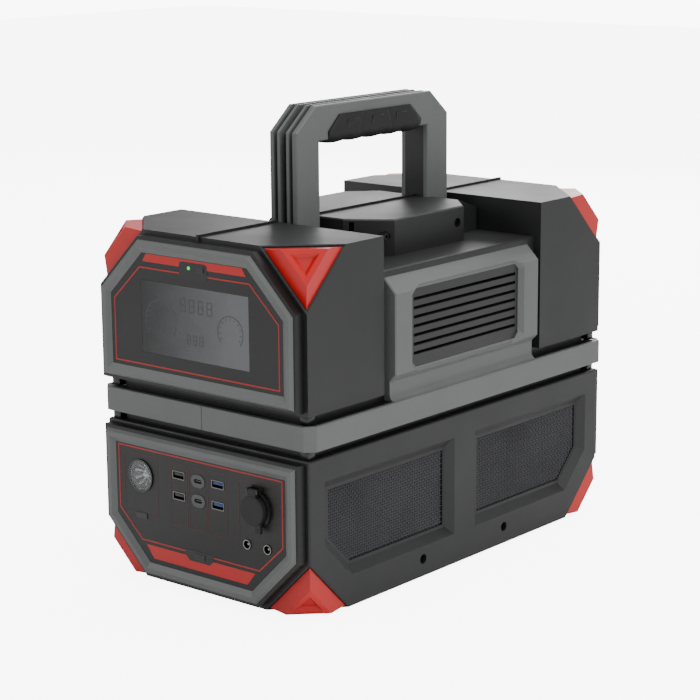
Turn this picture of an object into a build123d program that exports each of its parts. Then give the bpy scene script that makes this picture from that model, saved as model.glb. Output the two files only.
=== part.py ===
"""Portable power station: a battery base, a grey belt and a power unit with a carrying handle.

Units are millimetres.  X runs across the front, -Y is the front, Z is up.
The origin is on the ground, below the middle of the case.
Every size that can be set by itself has one named value below; the rest follow from them.
"""
import os
from math import cos, radians, sin, sqrt

from build123d import *

# ---- overall sizes ---------------------------------------------------------
CASE_WIDTH = 240.0          # both shells, side face to side face
CASE_DEPTH = 432.0          # front shell face to rear shell face
BASE_HEIGHT = 141.5         # battery base
TOP_HEIGHT = 139.0          # power unit, pod roof above its own underside
BLOCK_DEPTH = 100.0         # front pod and rear block, measured along Y
WALL = 3.0                  # moulded shell wall
CORNER_LEG = 52.0           # length cut off each edge at the eight case corners
FOOT_HEIGHT = 2.0
FOOT_WIDTH = 38.0
FOOT_DEPTH = 24.0
FOOT_IN = 6.0               # foot inside the flat underside's edge
HATCH_SIDE = 30.0           # opening between the storeys, inside the case walls
HATCH_END = 60.0
SEAM_RIB_WIDTH = 2.5
SEAM_HOOK = 3.5             # how far the rib hooks down over the end face
SEAM_RIB = 2.0              # rib that stands along the top seam
FIT = 0.2                   # gap between pieces that seat in each other
RUN = 0.4                   # gap round pieces that move
OVER = 1.0                  # how far a cutting tool reaches past the face it cuts
EDGE = 2.0                  # rounding of the moulded cases
SMALL_EDGE = 1.0            # rounding of the smaller mouldings

# ---- grey belt and the black neck behind it ----------------------------------
BELT_HEIGHT = 22.0
GROOVE = 8.0                # shadow gap above and below the belt
BELT_SIDE = 5.0             # belt beyond the case sides
BELT_END = 3.0              # belt beyond the front and rear faces
BELT_CHAMFER = 8.0
BELT_WALL = 4.0
NECK_INSET = 8.0            # neck behind the case faces
NECK_WALL = 12.0
COLLAR_STEP = 0.5           # collar that fills the belt, short of its edges

# ---- end panels (the same frame shape at both ends) -------------------------
RIM_SIDE = 4.5              # case side to rim
RIM_PROUD = 9.0             # black housing in front of the shell face
TRIM_PROUD = 3.0            # grey trim in front of the housing
PLATE = 3.0                 # housing front plate
HOUSING_WALL = 5.0
TRIM_EDGE = 3.0             # rim left bare outside the trim
TRIM_OUTER_SLOPE = 2.3
TRIM_FLAT = 4.0
TRIM_INNER_SLOPE = 4.7
RIM_CUT_GAP = 3.5           # rim chamfer to the cut corner's edge
RIM_GAP_OUT = 4.5           # rim to the shell's outer level edge
RIM_GAP_IN = 3.0            # rim to the edge beside the belt

# ---- display panel ----------------------------------------------------------
WINDOW_WIDTH = 126.6
WINDOW_HEIGHT = 64.0
WINDOW_DROP = 74.5          # window middle below the pod roof
WINDOW_THICK = 1.6
MODULE_LAP = 8.0            # display module beyond its window
MODULE_THICK = 5.0
LED_PROUD = 0.4
LED_TAIL = 3.0
SWITCH_DROP = 26.0          # switch row below the pod roof
SWITCH_X = 8.0
SWITCH_WIDTH = 9.0
SWITCH_HEIGHT = 5.0
LED_X = -5.0
LED_RADIUS = 1.6

# ---- output panel -----------------------------------------------------------
PORT_COLUMN = 23.5          # spacing of the three USB columns
PORT_ROW = 19.0
PORT_TOP = 106.3            # upper row above the base's underside
TORCH_X = -70.4
TORCH_Z = 97.7
TORCH_RADIUS = 14.9
TORCH_DEPTH = 16.0
TORCH_PROUD = 1.2
TORCH_RIM = 1.6
TORCH_THROAT = 3.5
TORCH_WALL = 2.0
CHIP_RADIUS = 2.5
CHIP_THICK = 1.5
LENS_THICK = 1.4
TORCH_KEY_Z = 60.8
KEY_WIDTH = 13.0
KEY_HEIGHT = 4.6
KEY_PROUD = 0.8
KEY_SKIRT = 3.0             # the skirt behind the plate, beyond the cap
KEY_SKIRT_THICK = 1.2
USB_WIDTH = 14.4            # USB-A metal shell
USB_HEIGHT = 7.0
USB_WALL = 0.9
USB_PROUD = 0.3
USB_DEPTH = 15.0
TONGUE_THICK = 1.8
TONGUE_UP = 0.9
OVAL_WIDTH = 16.0           # USB-C collar and mouth
OVAL_HEIGHT = 11.6
OVAL_MOUTH_WIDTH = 9.4
OVAL_MOUTH_HEIGHT = 3.6
OVAL_PROUD = 0.5
OVAL_DEPTH = 12.0
OVAL_DROP = 1.2             # upper oval below the upper USB-A row
BLADE_WIDTH = 6.6
BLADE_THICK = 0.8
DC_KEY_Z = 36.4
CAR_X = 69.5
CAR_Z = 93.5
CAR_BORE = 10.6             # radius of the 12 V accessory socket
CAR_DEPTH = 42.0
CAR_WALL = 2.0
CAR_FLANGE = 16.5
CAR_PROUD = 3.0
CAR_CONTACT = 2.5
HINGE_UP = 4.0              # and above the cap's edge
HINGE_RADIUS = 2.0
HINGE_OUT = CAR_PROUD + HINGE_RADIUS + RUN      # cover hinge pin in front of the panel
HINGE_PIN = 1.0
HINGE_HALF = 4.2
HINGE_TAB = 1.2
CAP_PLUG = 3.0              # how far the cap reaches into the bore
PULL_IN = 3.0               # pull tab right of the cap's middle
PULL_WIDTH = 6.0
PULL_THICK = 3.0
PULL_OUT = 6.0              # pull tab below the cap's edge
CAP_RADIUS = 13.2
CAP_THICK = 5.0
JACK_X = 69.0               # middle of the pair of round DC jacks
JACK_SPACING = 23.5
JACK_Z = 59.7
JACK_RADIUS = 4.3
JACK_BORE = 3.5
JACK_PIN = 1.0
JACK_DEPTH = 11.0
JACK_PROUD = 1.0

# ---- rear panels ------------------------------------------------------------
OUTLET_RADIUS = 19.5        # recessed mains outlet
OUTLET_DEPTH = 17.5
OUTLET_WALL = 2.0
OUTLET_SPACING = 62.0
OUTLET_DROP = 72.0
PIN_RADIUS = 2.5
PIN_SPACING = 19.0
INLET_WIDTH = 26.0
INLET_HEIGHT = 14.0
INLET_DEPTH = 18.0
INLET_BLADE = 1.6           # contact blades in the inlet
INLET_BLADE_IN = 2.5        # from its side walls

# ---- side vents -------------------------------------------------------------
ROOF_DROP = 32.5            # middle roof below the pod roof
MID_INSET = 8.0             # middle side wall behind the case side
VENT_HALF = 106.3
VENT_TOP_DROP = 38.5
VENT_BEVEL = 13.0
VENT_FOOT_BEVEL = 7.0
VENT_FOOT = 17.0            # underside of the vent frame above the belt
POCKET_HALF = 83.5
POCKET_DEPTH = 4.5
POCKET_TOP = 7.0            # vent frame top to pocket
POCKET_FOOT = 2.0
POCKET_CHAMFER = 10.0
POCKET_BEVEL = 1.0          # how much steeper than 45 degrees its sides are
GRILLE_HALF = 79.5
GRILLE_EDGE = 6.3           # pocket to grille opening, above and below
GRILLE_CHAMFER = 5.5
SLOTS = 7
SLOT_PITCH = 8.07
SLOT_GAP = 2.6
SLOT_TILT = 25.0
SLOT_END = 4.0              # slat ends left whole beside the slots
VENT_LIP = 1.0              # foot of the apron's sweep, from the belt's face
SWEEP_STEPS = 5
GRILLE_THICK = 5.0

# ---- mesh windows in the base ----------------------------------------------
MESH_NEAR = 24.5            # mesh edge from the case middle
MESH_END = 29.0             # mesh edge from the case's end face
MESH_TOP = 111.0            # above the base's underside
MESH_BOTTOM = 38.0
MESH_CUT = 29.0
MESH_RECESS = 6.0
MESH_BORDER = 9.0
MESH_SEAT = 2.5             # ledge in front of the sheet
MESH_LEDGE = 1.5            # how far the ledge reaches over the sheet's window
MESH_LAP = 3.0              # sheet beyond the window
MESH_THICK = 1.2

# ---- deck and handle ---------------------------------------------------------
DECK_HALF = 73.0
DECK_FRONT = -69.0
DECK_REAR = 84.0
DECK_FRONT_CUT_X = 38.0
DECK_FRONT_CUT_Y = 26.0
DECK_REAR_CUT = 25.0
DECK_SKIRT = 28.0           # sloped skirt behind the deck
DECK_SKIRT_DROP = 10.0
DECK_WALL = 30.0            # solid sides that take the screws
DECK_EDGE = 1.2
HANDLE_WIDTH = 32.0
HANDLE_HALF = 108.7         # half of its length along Y
HANDLE_RISE = 100.3         # handle top above the pod roof
HANDLE_LEG = 31.0
HANDLE_BAR = 31.5
HANDLE_CUT_Y = 26.0
HANDLE_CUT_Z = 22.0
RIB_PITCH = 10.5
RIB_THICK = 3.0
PLATE_THICK = 5.0
RIB_DEPTH = 6.5
GRIP_HALF_TOP = 51.0
GRIP_HALF = 66.0
GRIP_TOP_DROP = 10.0
GRIP_SWELL = 1.6            # rubber beyond the plates
GRIP_BELLY = 3.0            # rubber below the bar
GRIP_ROUND = 9.0            # rounding of its lower edges
GRIP_END = 10.5             # height of its upright ends
BEAM_INSET = 3.0            # beam inside the grip, from the plates and from the gap

# ---- corner caps -------------------------------------------------------------
CAP_BASE = 0.9              # cap base as a share of the cut triangle
CAP_TOP = 0.54
CAP_POCKET = 0.33
CAP_POCKET_FLOOR = 0.19
CAP_HEIGHT = 12.5
CAP_SEAT = 1.2
CAP_POCKET_DEPTH = 3.2
CAP_SEAT_GAP = 0.05         # seat wider than the cap, as a share of the cut triangle

# ---- boards and heat sink ----------------------------------------------------
BOARD_GAP = 6.0             # under each board and the cell tray
BOARD_HALF_X = 50.0
BOARD_HALF_Y = 100.0
INVERTER_HALF_X = 72.0
SWITCHES = 4
SWITCH_PITCH = 50.0
CHIP_HALF = 12.0
CHIP_TALL = 12.0
CAN_RADIUS = 8.0
CAPACITORS = 5
CAPACITOR_PITCH = 40.0
COIL_Y = 65.0
COIL_HALF = 18.0
COIL_GAP = 4.0
COIL_TALL = 32.0
SINK_HALF = 30.0
SINK_BASE = 6.0
SINK_TALL = 40.0
FINS = 10
FIN_PITCH = 6.0
FIN_THICK = 2.0
TRAY_EDGE = 3.0

# ---- screws ------------------------------------------------------------------
SCREW_Y = 61.5
SCREW_Z = 17.0
SCREW_HEAD = 3.6
SCREW_WELL = 4.5
DECK_SCREW_Y = 49.5
DECK_SCREW_DROP = 15.0
SCREW_DEEP = 14.0           # seat of a base screw inside the case side
DECK_SCREW_DEEP = 8.0
HEAD_THICK = 4.0
SHANK = 2.0
SHANK_LENGTH = 8.0
SCREW_POST = 14.0           # post that the screw bites into
HEX_POCKET = 1.6
HEX_DEEP = 1.5
BOLT_SHANK = 3.0            # bolts that hold the handle from below
BOLT_HEAD = 5.0
BOLT_LENGTH = 16.0

# ---- insides -----------------------------------------------------------------
CELL_RADIUS = 16.1
CELL_LENGTH = 70.5
CELL_PITCH = 34.0
CELLS_X = 5
CELLS_Y = 9
HOLDER = 6.0
HOLDER_LIP = 2.0
BOARD = 1.6
FAN_SIZE = 80.0
FAN_THICK = 20.0
FAN_BLADES = 7
FAN_HUB = 17.0
FAN_GAP = 2.0
FAN_RING = 2.0
FAN_TIP_GAP = 1.2
FAN_POST = 2.0
FAN_POST_LENGTH = 12.0
FAN_BLADE = 1.6
FAN_CHORD = 15.0
FAN_TWIST = 40.0
STRUT = 4.0

# ---- derived places ----------------------------------------------------------
SIDE = CASE_WIDTH / 2
END = CASE_DEPTH / 2
BASE_Z = FOOT_HEIGHT
BASE_TOP = BASE_Z + BASE_HEIGHT
BELT_Z = BASE_TOP + GROOVE
BELT_TOP = BELT_Z + BELT_HEIGHT
TOP_Z = BELT_TOP + GROOVE
ROOF_Z = TOP_Z + TOP_HEIGHT
MID_ROOF = ROOF_Z - ROOF_DROP
MID_SIDE = SIDE - MID_INSET
BLOCK_Y = END - BLOCK_DEPTH
PANEL_Y = END + RIM_PROUD
FRONT_MOST = PANEL_Y + CAR_PROUD + RUN + CAP_THICK
CENTRE_SHIFT = (FRONT_MOST - PANEL_Y - TRIM_PROUD) / 2
FAR = 1000.0


def save(node, name):
    """Writes one node as parts/NAME.step, with the whole part centred over the origin."""
    solids = [Pos(0, CENTRE_SHIFT, 0) * solid for solid in node.solids()]
    export_step(Compound(children=solids), "parts/" + name + ".step")


def box(x0, x1, y0, y1, z0, z1):
    """A box from its six face places."""
    return Pos((x0 + x1) / 2, (y0 + y1) / 2, (z0 + z1) / 2) * Box(x1 - x0, y1 - y0, z1 - z0)


def group(solids):
    """Separate solids kept side by side in one node."""
    flat = []
    for solid in solids:
        flat.extend(solid.solids())
    return Compound(children=flat)


def mirrored(solid):
    """The same solid on the other side of the seam."""
    return mirror(solid, about=Plane.YZ)


def keep_side(solid, side):
    """The half of a solid on one side of the seam; side is -1 or 1."""
    limits = sorted((0.0, side * FAR))
    return solid & box(limits[0], limits[1], -FAR, FAR, -FAR, FAR)


def prism_y(points, y0, y1):
    """A polygon in X and Z, drawn out from y0 to y1."""
    outline = Plane.XZ.offset(-y0) * Polygon(*points, align=None)
    return extrude(outline, amount=y1 - y0, dir=(0, 1, 0))


def prism_x(points, x0, x1):
    """A polygon in Y and Z, drawn out from x0 to x1."""
    outline = Plane.YZ.offset(x0) * Polygon(*points, align=None)
    return extrude(outline, amount=x1 - x0, dir=(1, 0, 0))


def prism_z(points, z0, z1):
    """A polygon in X and Y, drawn out from z0 to z1."""
    outline = Plane.XY.offset(z0) * Polygon(*points, align=None)
    return extrude(outline, amount=z1 - z0, dir=(0, 0, 1))


def rod_y(x, z, radius, y0, y1):
    """A round bar along Y."""
    return Pos(x, (y0 + y1) / 2, z) * Rot(90, 0, 0) * Cylinder(radius, y1 - y0)


def rod_x(y, z, radius, x0, x1):
    """A round bar along X."""
    return Pos((x0 + x1) / 2, y, z) * Rot(0, 90, 0) * Cylinder(radius, x1 - x0)


def rod_z(x, y, radius, z0, z1):
    """A round bar along Z."""
    return Pos(x, y, (z0 + z1) / 2) * Cylinder(radius, z1 - z0)


def cut_rectangle(half_u, v0, v1, cut_u, cut_v):
    """A rectangle whose two corners at v1 are cut off."""
    inner = v1 - cut_v if v1 > v0 else v1 + cut_v
    return [
        (-half_u, v0),
        (half_u, v0),
        (half_u, inner),
        (half_u - cut_u, v1),
        (-half_u + cut_u, v1),
        (-half_u, inner),
    ]


def eight_sided(half_u, v0, v1, cut):
    """A rectangle with all four corners cut off."""
    return [
        (-half_u + cut, v0),
        (half_u - cut, v0),
        (half_u, v0 + cut),
        (half_u, v1 - cut),
        (half_u - cut, v1),
        (-half_u + cut, v1),
        (-half_u, v1 - cut),
        (-half_u, v0 + cut),
    ]


# ---- case shells -------------------------------------------------------------
def corner_signs():
    """The four corners of a shell as X and Y signs."""
    return [(sx, sy) for sx in (-1, 1) for sy in (-1, 1)]


def cut_corners(solid, half_x, half_y, level, up, leg):
    """Takes the four corners at one level off a box; up is 1 for the top, -1 for the bottom."""
    for sx, sy in corner_signs():
        edge_point = (sx * (half_x - leg), sy * half_y, level)
        cut = Plane(origin=edge_point, z_dir=(sx, sy, up))
        solid = split(solid, bisect_by=cut, keep=Keep.BOTTOM)
    return solid


def corner_plane(sx, sy, up, level):
    """The plane of one cut corner, its origin in the middle of the cut triangle."""
    third = CORNER_LEG / 3
    middle = (sx * (SIDE - third), sy * (END - third), level - up * third)
    to_edge = (-2 * sx, sy, up)
    return Plane(origin=middle, x_dir=to_edge, z_dir=(sx, sy, up))


def corner_triangle(plane, share):
    """A triangle like the cut one, smaller by the given share."""
    radius = CORNER_LEG * sqrt(2) / sqrt(3) * share
    return plane * RegularPolygon(radius=radius, side_count=3)


def corner_seats(up, level):
    """The shallow triangular seats of the four caps at one level."""
    gap_share = CAP_BASE + CAP_SEAT_GAP
    seats = []
    for sx, sy in corner_signs():
        plane = corner_plane(sx, sy, up, level)
        seats.append(extrude(corner_triangle(plane, gap_share), amount=-CAP_SEAT))
    return seats


def corner_cap(sx, sy, up, level):
    """One red cap: a three-sided frustum with a triangular pocket."""
    plane = corner_plane(sx, sy, up, level)
    low = plane.offset(FIT - CAP_SEAT)
    high = plane.offset(CAP_HEIGHT)
    body = loft([corner_triangle(low, CAP_BASE), corner_triangle(high, CAP_TOP)], ruled=True)
    body = fillet(body.edges(), SMALL_EDGE / 2)
    floor = high.offset(-CAP_POCKET_DEPTH)
    pocket = loft([corner_triangle(floor, CAP_POCKET_FLOOR), corner_triangle(high, CAP_POCKET)],
                  ruled=True)
    return body - pocket


def inner_leg():
    """The corner cut of a cavity that keeps the wall even behind a cut corner."""
    return CORNER_LEG - WALL * (3 - sqrt(3))


def rim_outline(low, high, inset=0.0):
    """The end panel frame between two shell levels; its corners are cut at the level high."""
    up = 1 if high > low else -1
    half = SIDE - RIM_SIDE - inset
    v0 = low + up * (RIM_GAP_IN + inset)
    v1 = high - up * (RIM_GAP_OUT + inset)
    span = SIDE - half + abs(high - v1)
    cut = CORNER_LEG - span + (RIM_CUT_GAP + inset) * sqrt(2)
    return cut_rectangle(half, v0, v1, cut, cut)


def end_opening(low, high):
    """Openings in both end walls of a shell, inside the end panel frames."""
    outline = rim_outline(low, high, HOUSING_WALL + WALL)
    front = prism_y(outline, -END - OVER, -END + WALL + OVER)
    return front + Rot(0, 0, 180) * front


def mesh_outline(end, border):
    """One mesh window in Y and Z, grown by border; end is -1 for the front, 1 for the rear."""
    near = end * (MESH_NEAR - border)
    far = end * (END - MESH_END + border)
    top = BASE_Z + MESH_TOP + border
    foot = BASE_Z + MESH_BOTTOM - border
    cut = MESH_CUT + border * (2 - sqrt(2))
    return [
        (near, foot),
        (far - end * cut, foot),
        (far, foot + cut),
        (far, top),
        (near, top),
    ]


def mesh_recess(end):
    """The bevelled recess that leads to one mesh window on the +X side."""
    outer = Plane.YZ.offset(SIDE) * Polygon(*mesh_outline(end, MESH_BORDER), align=None)
    inner = Plane.YZ.offset(SIDE - MESH_RECESS) * Polygon(*mesh_outline(end, MESH_LEDGE), align=None)
    return loft([inner, outer], ruled=True)


def mesh_boss(end):
    """Extra wall behind one recess, so that the shell stays whole round the window."""
    back = SIDE - MESH_RECESS - MESH_SEAT - WALL
    return prism_x(mesh_outline(end, MESH_BORDER), back, SIDE - WALL / 2)


def mesh_window(end):
    """The through window and the seat of its mesh, on the +X side."""
    back = SIDE - MESH_RECESS - MESH_SEAT
    window = prism_x(mesh_outline(end, -MESH_LEDGE), back - WALL - OVER, SIDE)
    seat = prism_x(mesh_outline(end, MESH_LAP), back - WALL - OVER, back)
    return [window, seat]


def screw_wells(seat, face, y, z, post):
    """Wells and shank holes for a front and a rear screw driven in from the side."""
    tools = []
    for side in (-1, 1):
        tools.append(rod_x(side * y, z, SCREW_WELL, seat, face + OVER))
        tools.append(rod_x(side * y, z, SHANK + FIT / 4, seat - post - OVER, seat + OVER))
    return tools


def hatch(z0, z1):
    """The opening that joins the two storeys, through one wall."""
    half_x = SIDE - HATCH_SIDE
    half_y = END - HATCH_END
    return box(-half_x, half_x, -half_y, half_y, z0 - OVER, z1 + OVER)


def base_shell():
    """Both halves of the base as one body, before the seam parts them."""
    outer = box(-SIDE, SIDE, -END, END, BASE_Z, BASE_TOP)
    outer = cut_corners(outer, SIDE, END, BASE_Z, -1, CORNER_LEG)
    outer = fillet(outer.edges(), EDGE)
    half_x = SIDE - WALL
    half_y = END - WALL
    floor = BASE_Z + WALL
    cavity = box(-half_x, half_x, -half_y, half_y, floor, BASE_TOP - WALL)
    cavity = cut_corners(cavity, half_x, half_y, floor, -1, inner_leg())
    shell = outer - cavity
    for end in (-1, 1):
        boss = mesh_boss(end)
        shell = shell + boss + mirrored(boss)
        for tool in [mesh_recess(end)] + mesh_window(end):
            shell = shell - tool - mirrored(tool)
    for tool in corner_seats(-1, BASE_Z):
        shell = shell - tool
    post = SIDE - SCREW_DEEP - SCREW_POST
    pillars = [rod_x(side * SCREW_Y, BASE_Z + SCREW_Z, SCREW_WELL + WALL / 2, post, SIDE - WALL / 2)
               for side in (-1, 1)]
    wells = screw_wells(SIDE - SCREW_DEEP, SIDE, SCREW_Y, BASE_Z + SCREW_Z, SCREW_POST)
    for tool in pillars:
        shell = shell + tool + mirrored(tool)
    for tool in wells:
        shell = shell - tool - mirrored(tool)
    shell = shell - end_opening(BASE_TOP, BASE_Z)
    return shell - hatch(BASE_TOP - WALL, BASE_TOP)


def top_shell():
    """Both halves of the power unit's case: front pod, lower middle and rear block."""
    blocks = box(-SIDE, SIDE, -END, END, TOP_Z, ROOF_Z)
    blocks = cut_corners(blocks, SIDE, END, ROOF_Z, 1, CORNER_LEG)
    blocks = blocks - box(-FAR, FAR, -BLOCK_Y, BLOCK_Y, TOP_Z - OVER, ROOF_Z + OVER)
    rounded = [fillet(block.edges(), EDGE) for block in blocks.solids()]
    middle = box(-MID_SIDE, MID_SIDE, -BLOCK_Y - EDGE, BLOCK_Y + EDGE, TOP_Z, MID_ROOF)
    middle = fillet(middle.edges().filter_by(Axis.Y), EDGE)
    outer = middle + rounded[0] + rounded[1]
    half_x = SIDE - WALL
    half_y = END - WALL
    block_y = BLOCK_Y + WALL
    cavity = box(-half_x, half_x, -half_y, half_y, TOP_Z + WALL, ROOF_Z - WALL)
    cavity = cut_corners(cavity, half_x, half_y, ROOF_Z - WALL, 1, inner_leg())
    cavity = cavity - box(-FAR, FAR, -block_y, block_y, TOP_Z, ROOF_Z)
    tunnel = box(-MID_SIDE + WALL, MID_SIDE - WALL, -block_y, block_y, TOP_Z + WALL,
                 MID_ROOF - WALL)
    shell = outer - cavity - tunnel
    for bolt in handle_bolts(FIT / 4):
        shell = shell - bolt
    for tool in corner_seats(1, ROOF_Z):
        shell = shell - tool
    vent = prism_x(grille_outline(FIT), MID_SIDE - WALL - OVER, MID_SIDE + OVER)
    shell = shell - vent - mirrored(vent)
    shell = shell - end_opening(TOP_Z, ROOF_Z)
    return shell - hatch(TOP_Z, TOP_Z + WALL)


def handle_bolts(grow):
    """Two bolts up into each handle leg, their heads under the middle roof."""
    bolts = []
    top = MID_ROOF + BOLT_LENGTH
    for end in (-1, 1):
        y = end * (HANDLE_HALF - HANDLE_LEG / 2)
        for dy in (-HANDLE_LEG / 5, HANDLE_LEG / 5):
            shank = rod_z(0, y + dy, BOLT_SHANK + grow, MID_ROOF - WALL - OVER, top + grow)
            head = rod_z(0, y + dy, BOLT_HEAD, MID_ROOF - WALL - HEAD_THICK, MID_ROOF - WALL)
            bolts.append(shank + head)
    return bolts


def seam_ribs(z, spans):
    """The raised rib along the seam, on the left half."""
    return [box(-SEAM_RIB_WIDTH, 0, y0, y1, z, z + SEAM_RIB) for y0, y1 in spans]


def rib_hooks():
    """The ends of the seam rib, hooked down over the front and rear faces."""
    z0 = ROOF_Z - SEAM_HOOK
    front = box(-SEAM_RIB_WIDTH, 0, -END - SEAM_RIB, -END + EDGE + OVER, z0, ROOF_Z + SEAM_RIB)
    back = box(-SEAM_RIB_WIDTH, 0, END - EDGE - OVER, END + SEAM_RIB, z0, ROOF_Z + SEAM_RIB)
    return [front, back]


def make_shells():
    """The four case halves."""
    base = base_shell()
    top = top_shell()
    spans = [(-END, -BLOCK_Y), (BLOCK_Y, END)]
    for side, name in ((-1, "left"), (1, "right")):
        save(keep_side(base, side), "base_shell_" + name)
        half = keep_side(top, side)
        if side < 0:
            for rib in seam_ribs(ROOF_Z, spans) + rib_hooks():
                half = half + rib
        save(half, "top_shell_" + name)


def make_feet():
    """Four low rubber feet under the base."""
    x = SIDE - FOOT_IN - FOOT_WIDTH / 2
    y = END - CORNER_LEG - FOOT_IN - FOOT_DEPTH / 2
    foot = Box(FOOT_WIDTH, FOOT_DEPTH, FOOT_HEIGHT)
    feet = [Pos(sx * x, sy * y, FOOT_HEIGHT / 2) * foot for sx, sy in corner_signs()]
    save(group(feet), "rubber_feet")


def make_mesh():
    """The perforated sheets behind the base windows."""
    x1 = SIDE - MESH_RECESS - MESH_SEAT
    sheets = [prism_x(mesh_outline(end, MESH_LAP - FIT), x1 - MESH_THICK, x1) for end in (-1, 1)]
    save(group(sheets + [mirrored(sheet) for sheet in sheets]), "side_mesh")


# ---- belt and neck -----------------------------------------------------------
def belt_outline(inset):
    """The belt in X and Y, with cut corners."""
    half_x = SIDE + BELT_SIDE - inset
    half_y = END + BELT_END - inset
    cut = BELT_CHAMFER - inset * (2 - sqrt(2))
    return eight_sided(half_x, -half_y, half_y, cut)


def make_belt():
    """The grey belt in two halves and the black neck ring that carries it."""
    ring = prism_z(belt_outline(0), BELT_Z, BELT_TOP)
    ring = fillet(ring.edges(), SMALL_EDGE)
    ring = ring - prism_z(belt_outline(BELT_WALL), BELT_Z - OVER, BELT_TOP + OVER)
    ring = ring - box(-FIT / 2, FIT / 2, -FAR, FAR, BELT_Z - OVER, BELT_TOP + OVER)
    for side, name in ((-1, "left"), (1, "right")):
        save(keep_side(ring, side), "belt_" + name)
    half_x = SIDE - NECK_INSET
    half_y = END - NECK_INSET
    neck = prism_z(eight_sided(half_x, -half_y, half_y, BELT_CHAMFER), BASE_TOP, TOP_Z)
    collar = prism_z(belt_outline(BELT_WALL), BELT_Z + COLLAR_STEP, BELT_TOP - COLLAR_STEP)
    bore_x = half_x - NECK_WALL
    bore_y = half_y - NECK_WALL
    hollow = box(-bore_x, bore_x, -bore_y, bore_y, BASE_TOP - OVER, TOP_Z + OVER)
    save(neck + collar - hollow, "neck_frame")


# ---- side vents --------------------------------------------------------------
def vent_levels():
    """Top and underside of the vent frame."""
    return ROOF_Z - VENT_TOP_DROP, BELT_TOP + VENT_FOOT


def pocket_outline(grow):
    """The shallow pocket of the vent frame, in Y and Z."""
    top, foot = vent_levels()
    return eight_sided(POCKET_HALF + grow, foot + POCKET_FOOT - grow, top - POCKET_TOP + grow,
                       POCKET_CHAMFER)


def grille_outline(grow):
    """The grille opening, in Y and Z."""
    top, foot = vent_levels()
    low = foot + POCKET_FOOT + GRILLE_EDGE
    high = top - POCKET_TOP - GRILLE_EDGE
    return eight_sided(GRILLE_HALF + grow, low - grow, high + grow, GRILLE_CHAMFER)


def vent_profile():
    """The vent frame in X and Z: bevelled at its top, with a hollow apron down to the belt."""
    top, foot = vent_levels()
    face = SIDE + BELT_SIDE
    back = MID_SIDE
    apron = face - VENT_FOOT_BEVEL
    sweep = VENT_FOOT_BEVEL - VENT_LIP
    points = [
        (back, top),
        (face - VENT_BEVEL, top),
        (face, top - VENT_BEVEL),
        (face, foot + VENT_FOOT_BEVEL),
        (apron, foot),
        (apron, BELT_TOP + sweep),
    ]
    for step in range(1, SWEEP_STEPS + 1):
        turn = radians(90.0 * step / SWEEP_STEPS)
        points.append((face - VENT_LIP - sweep * cos(turn), BELT_TOP + sweep * (1 - sin(turn))))
    points.append((back, BELT_TOP))
    return points


def make_vents():
    """Grey vent frames and their black louvred grilles."""
    frame = prism_y(vent_profile(), -VENT_HALF, VENT_HALF)
    top, foot = vent_levels()
    ends = frame.faces().filter_by(Axis.Y)
    edges = [edge for face in ends for edge in face.edges()]
    frame = chamfer([edge for edge in edges if edge.center().Z > foot + OVER
                     and edge.center().X > MID_SIDE + OVER], SMALL_EDGE)
    floor = SIDE + BELT_SIDE - POCKET_DEPTH
    wide = Plane.YZ.offset(SIDE + BELT_SIDE) * Polygon(*pocket_outline(0), align=None)
    slim = Plane.YZ.offset(floor) * Polygon(*pocket_outline(POCKET_BEVEL - POCKET_DEPTH), align=None)
    pocket = loft([slim, wide], ruled=True)
    frame = frame - pocket - prism_x(grille_outline(0), MID_SIDE - OVER, SIDE + BELT_SIDE)
    high = top - POCKET_TOP - GRILLE_EDGE
    x1 = floor - FIT
    grille = prism_x(grille_outline(-FIT), x1 - GRILLE_THICK, x1)
    for slot in range(SLOTS):
        z = high - SLOT_PITCH * (slot + 1)
        slit = Pos(x1 - GRILLE_THICK / 2, 0, z) * Rot(0, SLOT_TILT, 0)
        grille = grille - slit * Box(4 * GRILLE_THICK, 2 * (GRILLE_HALF - SLOT_END), SLOT_GAP)
    for side, name in ((1, "right"), (-1, "left")):
        save(frame if side > 0 else mirrored(frame), "vent_frame_" + name)
        save(grille if side > 0 else mirrored(grille), "vent_grille_" + name)


# ---- deck and handle -----------------------------------------------------------
def deck_body():
    """The raised deck under the handle, with its sloped skirt behind."""
    outline = [
        (-DECK_HALF + DECK_FRONT_CUT_X, DECK_FRONT),
        (DECK_HALF - DECK_FRONT_CUT_X, DECK_FRONT),
        (DECK_HALF, DECK_FRONT + DECK_FRONT_CUT_Y),
        (DECK_HALF, DECK_REAR - DECK_REAR_CUT),
        (DECK_HALF - DECK_REAR_CUT, DECK_REAR),
        (-DECK_HALF + DECK_REAR_CUT, DECK_REAR),
        (-DECK_HALF, DECK_REAR - DECK_REAR_CUT),
        (-DECK_HALF, DECK_FRONT + DECK_FRONT_CUT_Y),
    ]
    deck = prism_z(outline, MID_ROOF, ROOF_Z)
    skirt_end = min(DECK_REAR + DECK_SKIRT, BLOCK_Y - RUN)
    skirt = prism_x([
        (DECK_REAR - DECK_REAR_CUT, MID_ROOF),
        (skirt_end, MID_ROOF),
        (skirt_end, ROOF_Z - DECK_SKIRT_DROP),
        (DECK_REAR, ROOF_Z),
        (DECK_REAR - DECK_REAR_CUT, ROOF_Z),
    ], -DECK_HALF + DECK_REAR_CUT, DECK_HALF - DECK_REAR_CUT)
    return deck + skirt


def leg_slot():
    """Room for the rear leg of the handle through the deck."""
    half = HANDLE_WIDTH / 2 + FIT
    inner = HANDLE_HALF - HANDLE_LEG - FIT
    return box(-half, half, inner, FAR, MID_ROOF - OVER, ROOF_Z + SEAM_RIB + OVER)


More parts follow.
